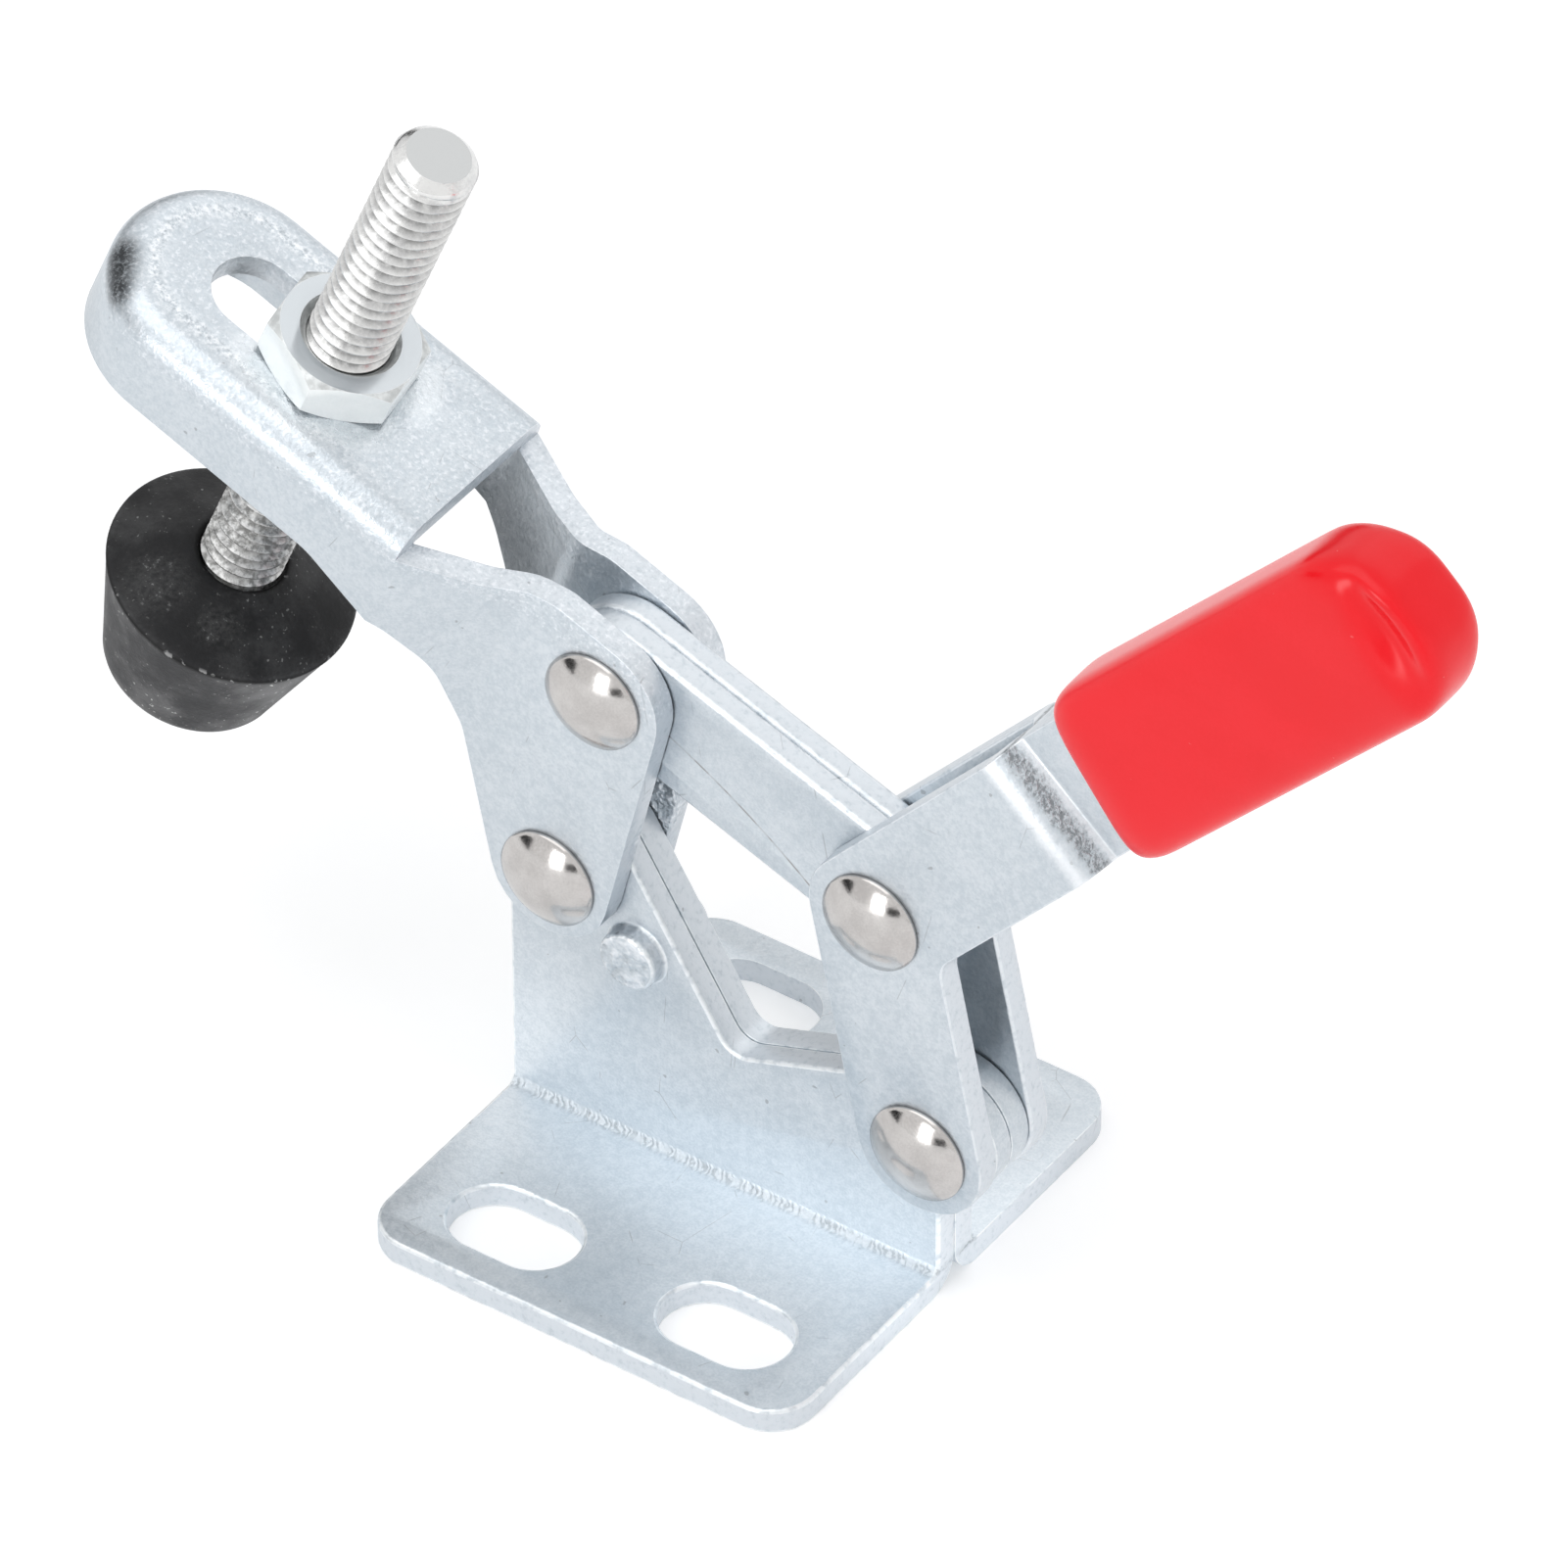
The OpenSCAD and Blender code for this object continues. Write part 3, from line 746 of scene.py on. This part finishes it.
def sweep(outline: Outline, steps: int, rise: float = 0.0) -> BMesh:
    """Sweeps an outline of radius and height once round the Z axis.

    Args:
        outline: The outline from one end of the axis to the other.
        steps: How many steps the full turn has.
        rise: How far the sweep climbs. If it doesn't climb, its ends are joined.

    Returns:
        The swept surface.
    """
    mesh = bmesh.new()
    verts = [mesh.verts.new((r, 0, h)) for r, h in outline]
    edges = [mesh.edges.new(pair) for pair in zip(verts, verts[1:])]
    bmesh.ops.spin(
        mesh,
        geom=verts + edges,
        axis=(0, 0, 1),
        dvec=(0, 0, rise / steps),
        angle=math.tau,
        steps=steps,
        use_merge=not rise,
    )
    return mesh


def turn_section(outline: Outline, around: int) -> BMesh:
    """Turns an outline of radius and height into a closed solid round the Z axis."""
    mesh = sweep(outline, around)
    bmesh.ops.remove_doubles(mesh, verts=mesh.verts, dist=MERGE_MM)
    bmesh.ops.recalc_face_normals(mesh, faces=mesh.faces)
    return mesh


def in_metres(mesh: BMesh, place: Matrix) -> BMesh:
    """Moves a shape in millimetres to its place and turns it into metres."""
    bmesh.ops.transform(mesh, matrix=Matrix.Scale(MM, 4) @ place, verts=mesh.verts)
    return mesh


@dataclass(frozen=True)
class SoftEdge:
    """The small rounding that tumbling leaves on a stamped edge."""

    radius: float = 0.42
    segments: int = 3
    sharp_deg: float = 40.0
    sheet_t: float = 2.0
    thicker: float = 1.3
    under: float = 0.02
    level_deg: float = 0.5

    def sheared(self, mesh: BMesh) -> set[int]:
        """Finds the faces whose metal is thicker than the sheet, which are its cut sides.

        Args:
            mesh: The unrounded shape in metres.

        Returns:
            The indices of those faces.
        """
        tree = BVHTree.FromBMesh(mesh)
        largest: dict[int, tuple[float, Vector]] = {}
        for loops in mesh.calc_loop_triangles():
            a, b, c = (loop.vert.co for loop in loops)
            area = (b - a).cross(c - a).length
            if area > largest.get(loops[0].face.index, (0.0, None))[0]:
                largest[loops[0].face.index] = (area, (a + b + c) / 3)
        mesh.faces.ensure_lookup_table()
        found = set()
        for index, (_, middle) in largest.items():
            normal = mesh.faces[index].normal
            depth = tree.ray_cast(middle - normal * self.under * MM, -normal)[3]
            if depth and depth > self.sheet_t * self.thicker * MM:
                found.add(index)
        return found

    def copy_of(self, node: str) -> BMesh:
        """Copies a CAD node, merges its triangles, rounds its sharp edges and marks its cut sides.

        Args:
            node: The CAD node.

        Returns:
            The rounded copy, in metres.
        """
        mesh = bmesh.new()
        mesh.from_mesh(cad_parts[node].data)
        bmesh.ops.remove_doubles(mesh, verts=mesh.verts, dist=MERGE_MM * MM)
        level = math.radians(self.level_deg)
        bmesh.ops.dissolve_limit(mesh, angle_limit=level, verts=mesh.verts, edges=mesh.edges)
        mesh.faces.index_update()
        rim = mesh.faces.layers.float.new("rim")
        edge = mesh.faces.layers.float.new("edge")
        cut_sides = self.sheared(mesh)
        for face in mesh.faces:
            face[rim] = float(face.index in cut_sides)
        sharp = math.radians(self.sharp_deg)
        rounded = bmesh.ops.bevel(
            mesh,
            geom=[e for e in mesh.edges if e.is_manifold and e.calc_face_angle() > sharp],
            offset=self.radius * MM,
            segments=self.segments,
            profile=0.5,
            affect="EDGES",
            material=-1,
            clamp_overlap=True,
        )
        for face in rounded["faces"]:
            face[rim], face[edge] = 0.0, 1.0
        return mesh


class Side(Enum):
    """The two mirrored halves of the clamp."""

    RIGHT = "right"
    LEFT = "left"


def dress_sheets(name: str, body: str, finish: ZincSheet, mirrored: bool = True) -> None:
    """Rounds and dresses a sheet part, or the mirrored pair that shares its name."""
    material = finish.make()
    for node in [f"{name}_{side.value}" for side in Side] if mirrored else [name]:
        add_piece(SoftEdge().copy_of(node), node, material, body)


@dataclass
class Base:
    """The two L-shaped base plates."""

    stop: Hammered = Hammered(centre=(-7.15, -2.7, 18.8), reach=2.75, grain=0.9, depth=0.34)

    def build(self) -> None:
        """Builds both plates."""
        # A brighter painted edge highlight on the base.
        look = {"polished": (0.95, 0.97, 0.98), "metallic": 0.72}
        finish = ZincSheet("zinc_base", wears_and_painted_light=(PaintedBendLight(), CoinedLine(), self.stop), **look)
        dress_sheets("base_plate", "base", finish)


@dataclass
class Arm:
    """The folded arm, with a rough line round its slot and dark patches on its nose, partly rubbed
    metal and partly painted dark reflection.
    """

    linkage: Linkage
    nose: float = -40.3
    ring_r: float = 5.5
    web: float = 23.2
    # Rub spots: partly rubbed metal, partly painted dark reflection. Shade: a patch of painted
    # shade on the nose's left wall.
    rub: tuple[Point, ...] = ((-46.9, -4.1, 22.5), (-46.1, -5.2, 22.4), (-45.1, -6.4, 22.1))
    rub_and_shade_r: float = 2.15
    shade: Point = (-48.5, -2.0, 14.5)
    shade_r: float = 9.0
    shade_dark: float = 0.17
    lumps: Hammered = Hammered(centre=(-7.5, 0.6, 29.1), reach=4.0, grain=0.8, depth=0.5)

    def build(self) -> None:
        """Builds the arm."""
        place = self.linkage.on_arm()
        way, up = ((place.to_3x3() @ Vector(v)).normalized() for v in ((1, 0, 0), (0, 0, 1)))
        ring = RoughRing(way, up, place.translation, self.nose, self.ring_r, self.web)
        rub_and_shade_patches = [DarkPatch(place @ Vector(spot), self.rub_and_shade_r) for spot in self.rub]
        rub_and_shade_patches.append(DarkPatch(place @ Vector(self.shade), self.shade_r, self.shade_dark))
        nut_light_pool = NutLightPool(up, place @ Vector((-self.linkage.stud_reach, 0, self.web)))
        finish = ZincSheet("zinc_arm", wears_and_painted_light=(ring, nut_light_pool, self.lumps, *rub_and_shade_patches))
        dress_sheets("arm", "arm", finish, mirrored=False)


@dataclass
class Links:
    """The two straight link plates."""

    rub: ScribedArc = ScribedArc(centre=(-31.43, -13.63), radius=59.63)

    def build(self) -> None:
        """Builds both plates."""
        dress_sheets("link_plate", "link", ZincSheet("zinc_link", wears_and_painted_light=(self.rub,)))


@dataclass
class Handle:
    """The two cranked handle plates, with a grainy band on their inward step, darkened by painted
    reflection between painted highlights.
    """

    linkage: Linkage
    band_at: float = 20.95
    band_half: float = 0.75

    def build(self) -> None:
        """Builds both plates."""
        place = self.linkage.on_grip()
        way = place.to_3x3() @ Vector((1, 0, 0))
        band = GrainyBandPaintedLight(way, place.translation, self.band_at, self.band_half)
        dress_sheets("handle_plate", "handle", ZincSheet("zinc_handle", wears_and_painted_light=(band,)))


@dataclass
class Grip:
    """The dipped grip, lofted from its cavity over its mouth to its sunken, rounded end."""

    linkage: Linkage
    start: float = 23.6
    slant: float = 2.4
    slant_len: float = 14.0
    end: float = 60.38
    sag_deg: float = 1.6
    wide: float = 6.68
    thick: float = 3.58
    end_r: float = 6.0
    face_r: float = 1.7
    square: float = 4.4
    square_fade: float = 5.0
    mouth_in: float = 0.7
    mouth_len: float = 3.2
    plate_wide: float = 5.12
    plate_thick: float = 2.02
    plate_end: float = 58.0
    plate_square: float = 9.0
    dip_at: float = 58.05
    dip_half: float = 0.95
    dip_grows: float = 0.55
    dip_depth: float = 1.15
    far_share: float = 0.25
    around: int = 72

    def half(self, s: float, full: float, end_r: float) -> float:
        """Half of a size at a distance from the knee rivet, from its full half and its rounding."""
        grown = clamp((s - self.start) / self.mouth_len)
        past = max(0.0, s - self.end + end_r)
        rounding = math.sqrt(max(0.0, end_r**2 - past**2))
        return full - self.mouth_in * (1 - grown) ** 2 - end_r + rounding

    def sink(self, s: float, z: float, y: float) -> float:
        """How far a face has sunk just past the ends of the plates, less on the far side."""
        low = clamp((3.5 - z) / 4)
        along = (s - self.dip_at - 0.08 * z) / (self.dip_half + self.dip_grows * low)
        across = (z + 0.2) / 4.0
        depth = self.dip_depth * math.exp(-(along**2) - across**2)
        return depth * (1.0 if y < 0 else self.far_share)

    def stations(self) -> list[tuple[float, float, float, float]]:
        """The rings from the closed end of the cavity to the end of the grip.

        Returns:
            Each ring's distance from the knee rivet, half width, half thickness and squareness.
        """
        rings = []
        plate = self.plate_thick, self.plate_square
        for past in (5.05, 4.6, 3.8, 2.4, 0.0):
            rounding = math.sqrt(max(0.05, self.plate_wide**2 - past**2))
            rings.append((self.plate_end - self.plate_wide + past, rounding, *plate))
        rings += [(s, self.plate_wide, *plate) for s in (40.0, self.start + 0.6)]
        lip = ((0.1, 0.04, 8.0), (-0.02, 0.26, 6.5), (0.04, 0.56, 5.5), (0.24, 0.8, 4.8))
        for s, out, square in lip:
            rings.append((self.start + s, self.plate_wide + out, self.plate_thick + out, square))
        steps = [self.start + s for s in (0.7, 1.4, 2.3, 3.4, 5.0, 8.0, 12.0, 16.0, 20.0)]
        for before, step, count in ((10, 0.8, 6), (5.4, 0.3, 18)):
            steps += [self.end - before + step * i for i in range(count)]
        steps.append(self.end - 0.06)
        for s in steps:
            square = self.square - max(0.0, 1 - (self.end - s) / self.square_fade)
            wide, thick = self.half(s, self.wide, self.end_r), self.half(s, self.thick, self.face_r)
            rings.append((s, wide, thick, square))
        return rings

    def loft(self) -> BMesh:
        """Extrudes ring after ring and shapes each one.

        Returns:
            The grip in millimetres, along X from the knee rivet.
        """
        mesh = bmesh.new()
        angle = mesh.verts.layers.float.new("angle")
        ring = bmesh.ops.create_circle(mesh, cap_ends=True, segments=self.around, radius=1.0)
        verts = ring["verts"]
        for vert in verts:
            vert[angle] = math.atan2(vert.co.y, vert.co.x)
        edges = mesh.edges[:]
        for i, (s, wide, thick, square) in enumerate(self.stations()):
            if i:
                grown = bmesh.ops.extrude_edge_only(mesh, edges=edges)["geom"]
                verts = [v for v in grown if isinstance(v, BMVert)]
                edges = [e for e in grown if isinstance(e, BMEdge) and e.is_boundary]
            for vert in verts:
                c, w = math.cos(vert[angle]), math.sin(vert[angle])
                z = math.copysign(abs(c) ** (2 / square), c) * wide
                y = math.copysign(abs(w) ** (2 / square), w) * thick
                fade = clamp(1 - (s - self.start) / self.slant_len)
                lean = (z / self.wide + 1) / 2 * self.slant * fade
                if thick > self.plate_thick + 1:
                    sunk = self.sink(s, z, y) * min(1.0, abs(y) / thick)
                    y -= math.copysign(min(abs(y), sunk), y)
                vert.co = s + lean, y, z
        bmesh.ops.holes_fill(mesh, edges=edges)
        bmesh.ops.recalc_face_normals(mesh, faces=mesh.faces)
        return mesh

    def build(self) -> None:
        """Builds the grip."""
        there, back = (Matrix.Translation((side * self.start, 0, 0)) for side in (1, -1))
        sag = there @ Matrix.Rotation(math.radians(self.sag_deg), 4, "Y") @ back
        mesh = in_metres(self.loft(), self.linkage.on_grip() @ sag)
        made = add_piece(mesh, "grip", DippedVinyl().make(), "handle", smooth_deg=70)
        made.modifiers.new("smooth", "SUBSURF").render_levels = 1


@dataclass
class Rivets:
    """The four rivets with a domed head on both sides."""

    linkage: Linkage
    shank_r: float = 2.25
    head_r: float = 3.8
    rim: float = 0.25
    dome: float = 1.3
    arc: int = 14
    around: int = 72

    def head(self) -> Outline:
        """The outline of one head as radius and height above the wall, from the axis outwards."""
        ball = (self.head_r**2 + self.dome**2) / (2 * self.dome)
        reach = math.asin(self.head_r / ball)
        turns = (reach * i / self.arc for i in range(self.arc + 1))
        top = self.rim + self.dome
        dome = [(ball * math.sin(a), top - ball * (1 - math.cos(a))) for a in turns]
        return dome[:-1] + [(self.head_r - 0.03, self.rim + 0.02), (self.head_r, self.rim - 0.05)]

    def build(self) -> None:
        """Builds the rivets."""
        finish = PolishedNickel().make()
        wall = self.linkage.outer_y
        top = [(r, wall + h) for r, h in self.head()] + [(self.head_r, wall), (self.shank_r, wall)]
        outline = top + [(r, -h) for r, h in reversed(top)]
        pivots = {
            "rivet_arm_base": (Vector(self.linkage.front), "arm"),
            "rivet_arm_link": (self.linkage.upper, "arm"),
            "rivet_link_handle": (self.linkage.knee, "handle"),
            "rivet_handle_base": (Vector(self.linkage.rear), "handle"),
        }
        for node, (pivot, body) in pivots.items():
            mesh = turn_section(outline, self.around)
            # Marks the ring of painted shade at each head's seat.
            seat_shade = mesh.verts.layers.float.new("seat_shade")
            for vert in mesh.verts:
                vert[seat_shade] = float(abs(abs(vert.co.z) - wall) < LEVEL_MM)
            place = Matrix.Translation((pivot.x, 0, pivot.y)) @ Matrix.Rotation(math.pi / 2, 4, "X")
            add_piece(in_metres(mesh, place), node, finish, body)


@dataclass
class Spindle:
    """The threaded stud, its two thin nuts and the rubber tip."""

    linkage: Linkage
    stud_r: float = 3.0
    pitch: float = 1.0
    depth: float = 0.58
    top: float = 46.5
    low: float = -9.4
    chamfer: float = 0.7
    plain_end: float = 1.5
    run_out: float = 0.5
    steps: int = 48
    tip_r: float = 9.0
    tip_foot_r: float = 6.6
    tip_round: float = 1.7
    tip_rim: float = -1.7
    tip_foot: float = -12.4
    tip_around: int = 96
    cone_r: float = 6.2
    cone_up: float = 1.32
    cone_top: float = 0.9
    collar_r: float = 3.35
    nut_chamfer_shade: float = 0.5
    darker_span: Pair = (19.0, 8.0)
    dusty: tuple[Dusting, ...] = (
        Dusting(centre=(-44.5, -5.7, 36.6), reach=3.4),
        Dusting(centre=(-39.5, -5.5, 34.8), reach=2.3),
    )

    def thread(self) -> BMesh:
        """Winds one turn of the thread, stacks it, cuts it to length and chamfers its top.

        Returns:
            The stud in millimetres, on the Z axis.
        """
        root, crest = self.stud_r - self.depth, self.stud_r
        flank = [(root, 0.0), (root + 0.06, 0.12), (crest - 0.06, 0.41), (crest, 0.46)]
        profile = flank + [(r, 1 - h) for r, h in reversed(flank)]
        foot = self.low - self.pitch
        turn = [(r, foot + h * self.pitch) for r, h in profile]
        mesh = sweep(turn, self.steps, self.pitch)
        turns = 1
        while turns * self.pitch < self.top - foot + self.pitch:
            everything = mesh.verts[:] + mesh.edges[:] + mesh.faces[:]
            copy = bmesh.ops.duplicate(mesh, geom=everything)["geom"]
            verts = [v for v in copy if isinstance(v, BMVert)]
            bmesh.ops.translate(mesh, vec=(0, 0, turns * self.pitch), verts=verts)
            turns *= 2
        bmesh.ops.remove_doubles(mesh, verts=mesh.verts, dist=2 * MERGE_MM)
        for height, up in ((self.top, 1), (self.low, -1)):
            everything = mesh.verts[:] + mesh.edges[:] + mesh.faces[:]
            cut = {"plane_co": (0, 0, height), "plane_no": (0, 0, up)}
            bmesh.ops.bisect_plane(mesh, geom=everything, **cut, clear_outer=True)
        for vert in mesh.verts:
            room = self.stud_r - self.chamfer + max(0.0, self.top - vert.co.z)
            size = vert.co.xy.length
            smooth = clamp((vert.co.z - self.top + self.plain_end) / self.run_out)
            wanted = min(room, size + (self.stud_r - size) * smooth)
            vert.co.x *= wanted / size
            vert.co.y *= wanted / size
        bmesh.ops.holes_fill(mesh, edges=[e for e in mesh.edges if e.is_boundary])
        bmesh.ops.recalc_face_normals(mesh, faces=mesh.faces)
        # Flat end faces get painted shade.
        flat = mesh.faces.layers.float.new("rim")
        for face in mesh.faces:
            face[flat] = float(face.calc_center_median().z > self.top - LEVEL_MM)
        # Painted shade and dirt in the thread roots.
        layer = mesh.verts.layers.float.new("root")
        for vert in mesh.verts:
            sunk = (self.stud_r - vert.co.xy.length) / self.depth
            vert[layer] = clamp(sunk) if vert.co.z < self.top - self.plain_end else 0.0
        return mesh

    def tip(self) -> BMesh:
        """Turns the tip: flat foot, tapered side, rim, shallow cone and the lip round the stud.

        Returns:
            The tip in millimetres, on the Z axis.
        """
        outline = [(0.0, self.tip_foot), (self.tip_foot_r - self.tip_round, self.tip_foot)]
        for i in range(1, 8):
            a = math.radians(82 * i / 7)
            out, up = self.tip_round * math.sin(a), self.tip_round * (1 - math.cos(a))
            outline.append((self.tip_foot_r - self.tip_round + out, self.tip_foot + up))
        rim = ((-0.16, -0.65), (-0.01, -0.22), (-0.02, -0.08), (-0.2, 0.06), (-1.0, 0.4))
        outline += [(self.tip_r + out, self.tip_rim + up) for out, up in rim]
        outline.append((self.cone_r, self.tip_rim + self.cone_up))
        collar = ((0.8, -0.3), (0.2, -0.02), (-0.1, -0.06))
        outline += [(self.collar_r + out, self.cone_top + up) for out, up in collar]
        socket = self.stud_r + 0.02
        outline += [(socket, self.cone_top - 0.35), (socket, self.low), (0.0, self.low)]
        mesh = turn_section(outline, self.tip_around)
        rim_lines = mesh.verts.layers.float.new("rim_lines")
        for vert in mesh.verts:
            size = vert.co.xy.length
            vert[rim_lines] = float(abs(size - self.tip_r) < 0.03 or abs(size - self.collar_r) < 0.11)
        return mesh

    def nut(self, node: str, axis: Vector) -> BMesh:
        """Rounds the nut on an axis, marks its flat faces for painted shade and paints shade on its
        chamfers.
        """
        mesh = SoftEdge(radius=0.12, segments=2, sharp_deg=25).copy_of(node)
        flat, grey = mesh.faces.layers.float["rim"], mesh.faces.layers.float.new("root")
        for face in mesh.faces:
            level = abs(face.normal.dot(axis))
            face[flat] = float(level > 0.97)
            face[grey] = self.nut_chamfer_shade if 0.3 < level < 0.9 else 0.0
        return mesh

    def build(self) -> None:
        """Builds the stud, the nuts and the tip."""
        place = self.linkage.on_spindle()
        up = (place.to_3x3() @ Vector((0, 0, 1))).normalized()
        low_darkening = DarkerBelow(up, place.translation, *self.darker_span)
        tones = ((0.78, 0.78, 0.77), (0.62, 0.62, 0.62))
        # The flat colour paints shade on the stud's end face.
        bolt = BrightZinc("bright_stud", *tones, (low_darkening,), flat=(0.56, 0.57, 0.57)).make()
        stud = in_metres(self.thread(), place)
        add_piece(stud, "stud", bolt, "spindle", smooth_deg=44)
        # Painted light on the tip's side.
        side = PaintedSideLight(up, place.translation, self.tip_rim)
        rubber = MouldedRubber(wears_and_painted_light=(side, *self.dusty)).make()
        tip = in_metres(self.tip(), place)
        add_piece(tip, "rubber_tip", rubber, "spindle", smooth_deg=50)
        tones = ((0.96, 0.99, 0.99), (0.9, 0.94, 0.94))
        plating = BrightZinc("bright_nut", *tones, metallic=0.35, grain=0.003).make()
        for node in ("nut_upper", "nut_lower"):
            nut = self.nut(node, up)
            add_piece(nut, node, plating, "nuts", smooth_deg=30)


@dataclass(frozen=True)
class Bearing:
    """A direction: degrees from the front towards the handle, and above the floor."""

    azimuth: float
    elevation: float

    def spot(self, away: float) -> Vector:
        """The place at a distance in metres."""
        a, e = math.radians(self.azimuth), math.radians(self.elevation)
        return Vector((math.sin(a) * math.cos(e), -math.cos(a) * math.cos(e), math.sin(e))) * away


@dataclass
class Studio:
    """Floor, lamps, dark cards, world and the camera at the photograph's place."""

    view: Bearing = Bearing(34.8407, 40.3363)
    roll: float = -0.1974
    distance_mm: float = 1086.2777
    across_mm: float = 17.5871
    up_mm: float = 20.8464
    origin_mm: float = 17.8
    focal_px: float = 16000.0
    image_px: float = 1601.0
    aim: Point = (-0.005, 0.0, 0.035)

    def camera(self) -> None:
        """Places the camera."""
        r = math.radians(self.roll)
        back = self.view.spot(1.0)
        right = Bearing(self.view.azimuth + 90, 0).spot(1.0)
        up = back.cross(right)
        right, up = right * math.cos(r) + up * math.sin(r), up * math.cos(r) - right * math.sin(r)
        spot = back * self.distance_mm + right * self.across_mm + up * self.up_mm
        spot.x -= self.origin_mm
        data = bpy.data.cameras.new("camera")
        data.lens = self.focal_px / self.image_px * data.sensor_width
        data.clip_start, data.clip_end = 0.05, 20.0
        made = bpy.data.objects.new("camera", data)
        turn = Matrix((right, up, back)).transposed().to_4x4()
        made.matrix_world = Matrix.Translation(spot * MM) @ turn
        bpy.context.collection.objects.link(made)
        bpy.context.scene.camera = made

    def facing(self, spot: Vector) -> Matrix:
        """The place of a flat thing at a spot that faces the clamp with its -Z side."""
        turn = (Vector(self.aim) - spot).to_track_quat("-Z", "Y")
        return Matrix.Translation(spot) @ turn.to_matrix().to_4x4()

    def lamp(
        self, name: str, bearing: Bearing, away: float, size: Pair, glow: float, shown: bool = True
    ) -> None:
        """Adds a soft lamp that faces the clamp.

        Args:
            name: The lamp's name.
            bearing: Its direction.
            away: Its distance in metres.
            size: Its width and height in metres.
            glow: How bright its face looks, where the white floor is 1.
            shown: Whether polished faces show it.
        """
        data = bpy.data.lights.new(name, "AREA")
        data.shape, data.size, data.size_y = "RECTANGLE", *size
        data.energy = glow * math.pi * size[0] * size[1]
        made = bpy.data.objects.new(name, data)
        made.matrix_world = self.facing(bearing.spot(away))
        made.visible_glossy = shown
        bpy.context.collection.objects.link(made)

    def card(self, name: str, bearing: Bearing, size: Pair) -> None:
        """Adds a dark card that only polished faces see.

        Args:
            name: The card's name.
            bearing: Its direction, one metre away.
            size: Its width and height in metres.
        """
        mesh = bmesh.new()
        bmesh.ops.create_grid(mesh, x_segments=1, y_segments=1, size=0.5)
        stretch = Matrix.Diagonal((*size, 1, 1))
        bmesh.ops.transform(mesh, matrix=self.facing(bearing.spot(1.0)) @ stretch, verts=mesh.verts)
        material = bpy.data.materials.new(name)
        g = Graph(material)
        g.surface(g.node("BsdfDiffuse", values={"Color": (0.02, 0.02, 0.022, 1)}))
        made = keep(mesh, name, material)
        made.visible_camera = made.visible_diffuse = made.visible_shadow = False

    def floor(self) -> None:
        """Adds the pale floor."""
        mesh = bmesh.new()
        bmesh.ops.create_grid(mesh, x_segments=4, y_segments=4, size=4.0)
        material = bpy.data.materials.new("floor_white")
        g = Graph(material)
        matte = g.node("BsdfDiffuse", values={"Color": (0.93, 0.93, 0.93, 1)})
        glow = g.node("Emission", values={"Color": (1, 1, 1, 1), "Strength": 0.3})
        both = g.node("AddShader", values={0: matte, 1: glow})
        seen = g.seen("Camera", "Glossy")
        g.surface(g.node("MixShader", values={0: seen, 1: matte, 2: both}))
        keep(mesh, "floor", material)

    def world(self) -> None:
        """Sets a plain pale surround that the camera and polished faces see as white."""
        world = bpy.data.worlds.new("studio")
        bpy.context.scene.world = world
        g = Graph(world)
        seen = g.seen("Camera", "Glossy", "Transmission")
        light = g.node("Background", values={"Color": (0.98, 0.99, 1.0, 1), "Strength": 0.6})
        white = g.node("Background", values={"Color": (1, 1, 1, 1)})
        either = g.node("MixShader", values={0: seen, 1: light, 2: white})
        g.surface(either, "OutputWorld")

    def build(self) -> None:
        """Builds the studio."""
        bpy.context.scene.view_settings.view_transform = "Standard"
        self.camera()
        self.floor()
        self.world()
        self.lamp("window", Bearing(-4, 10), 1.0, (0.26, 0.36), 5.0)
        self.lamp("overhead", Bearing(-20, 68), 1.3, (1.2, 1.2), 0.95)
        self.lamp("behind", Bearing(-175, 47), 1.4, (1.2, 0.8), 0.38)
        self.lamp("side", Bearing(92, 15), 1.0, (0.7, 0.7), 1.2, shown=False)
        self.card("gap_right", Bearing(15, 1), (0.26, 0.3))
        self.card("gap_left", Bearing(-53, 4), (0.36, 0.34))
        self.card("gap_back", Bearing(-125, 2), (0.72, 0.5))


def main() -> None:
    """Builds the clamp piece by piece, then the studio round it."""
    logging.basicConfig(level=logging.INFO, format="%(name)s: %(message)s")
    linkage = Linkage()
    sheets = Base(), Arm(linkage), Links(), Handle(linkage)
    for assembly in (*sheets, Grip(linkage), Rivets(linkage), Spindle(linkage), Studio()):
        log.info("building %s", type(assembly).__name__)
        assembly.build()


if __name__ == "__main__":
    main()
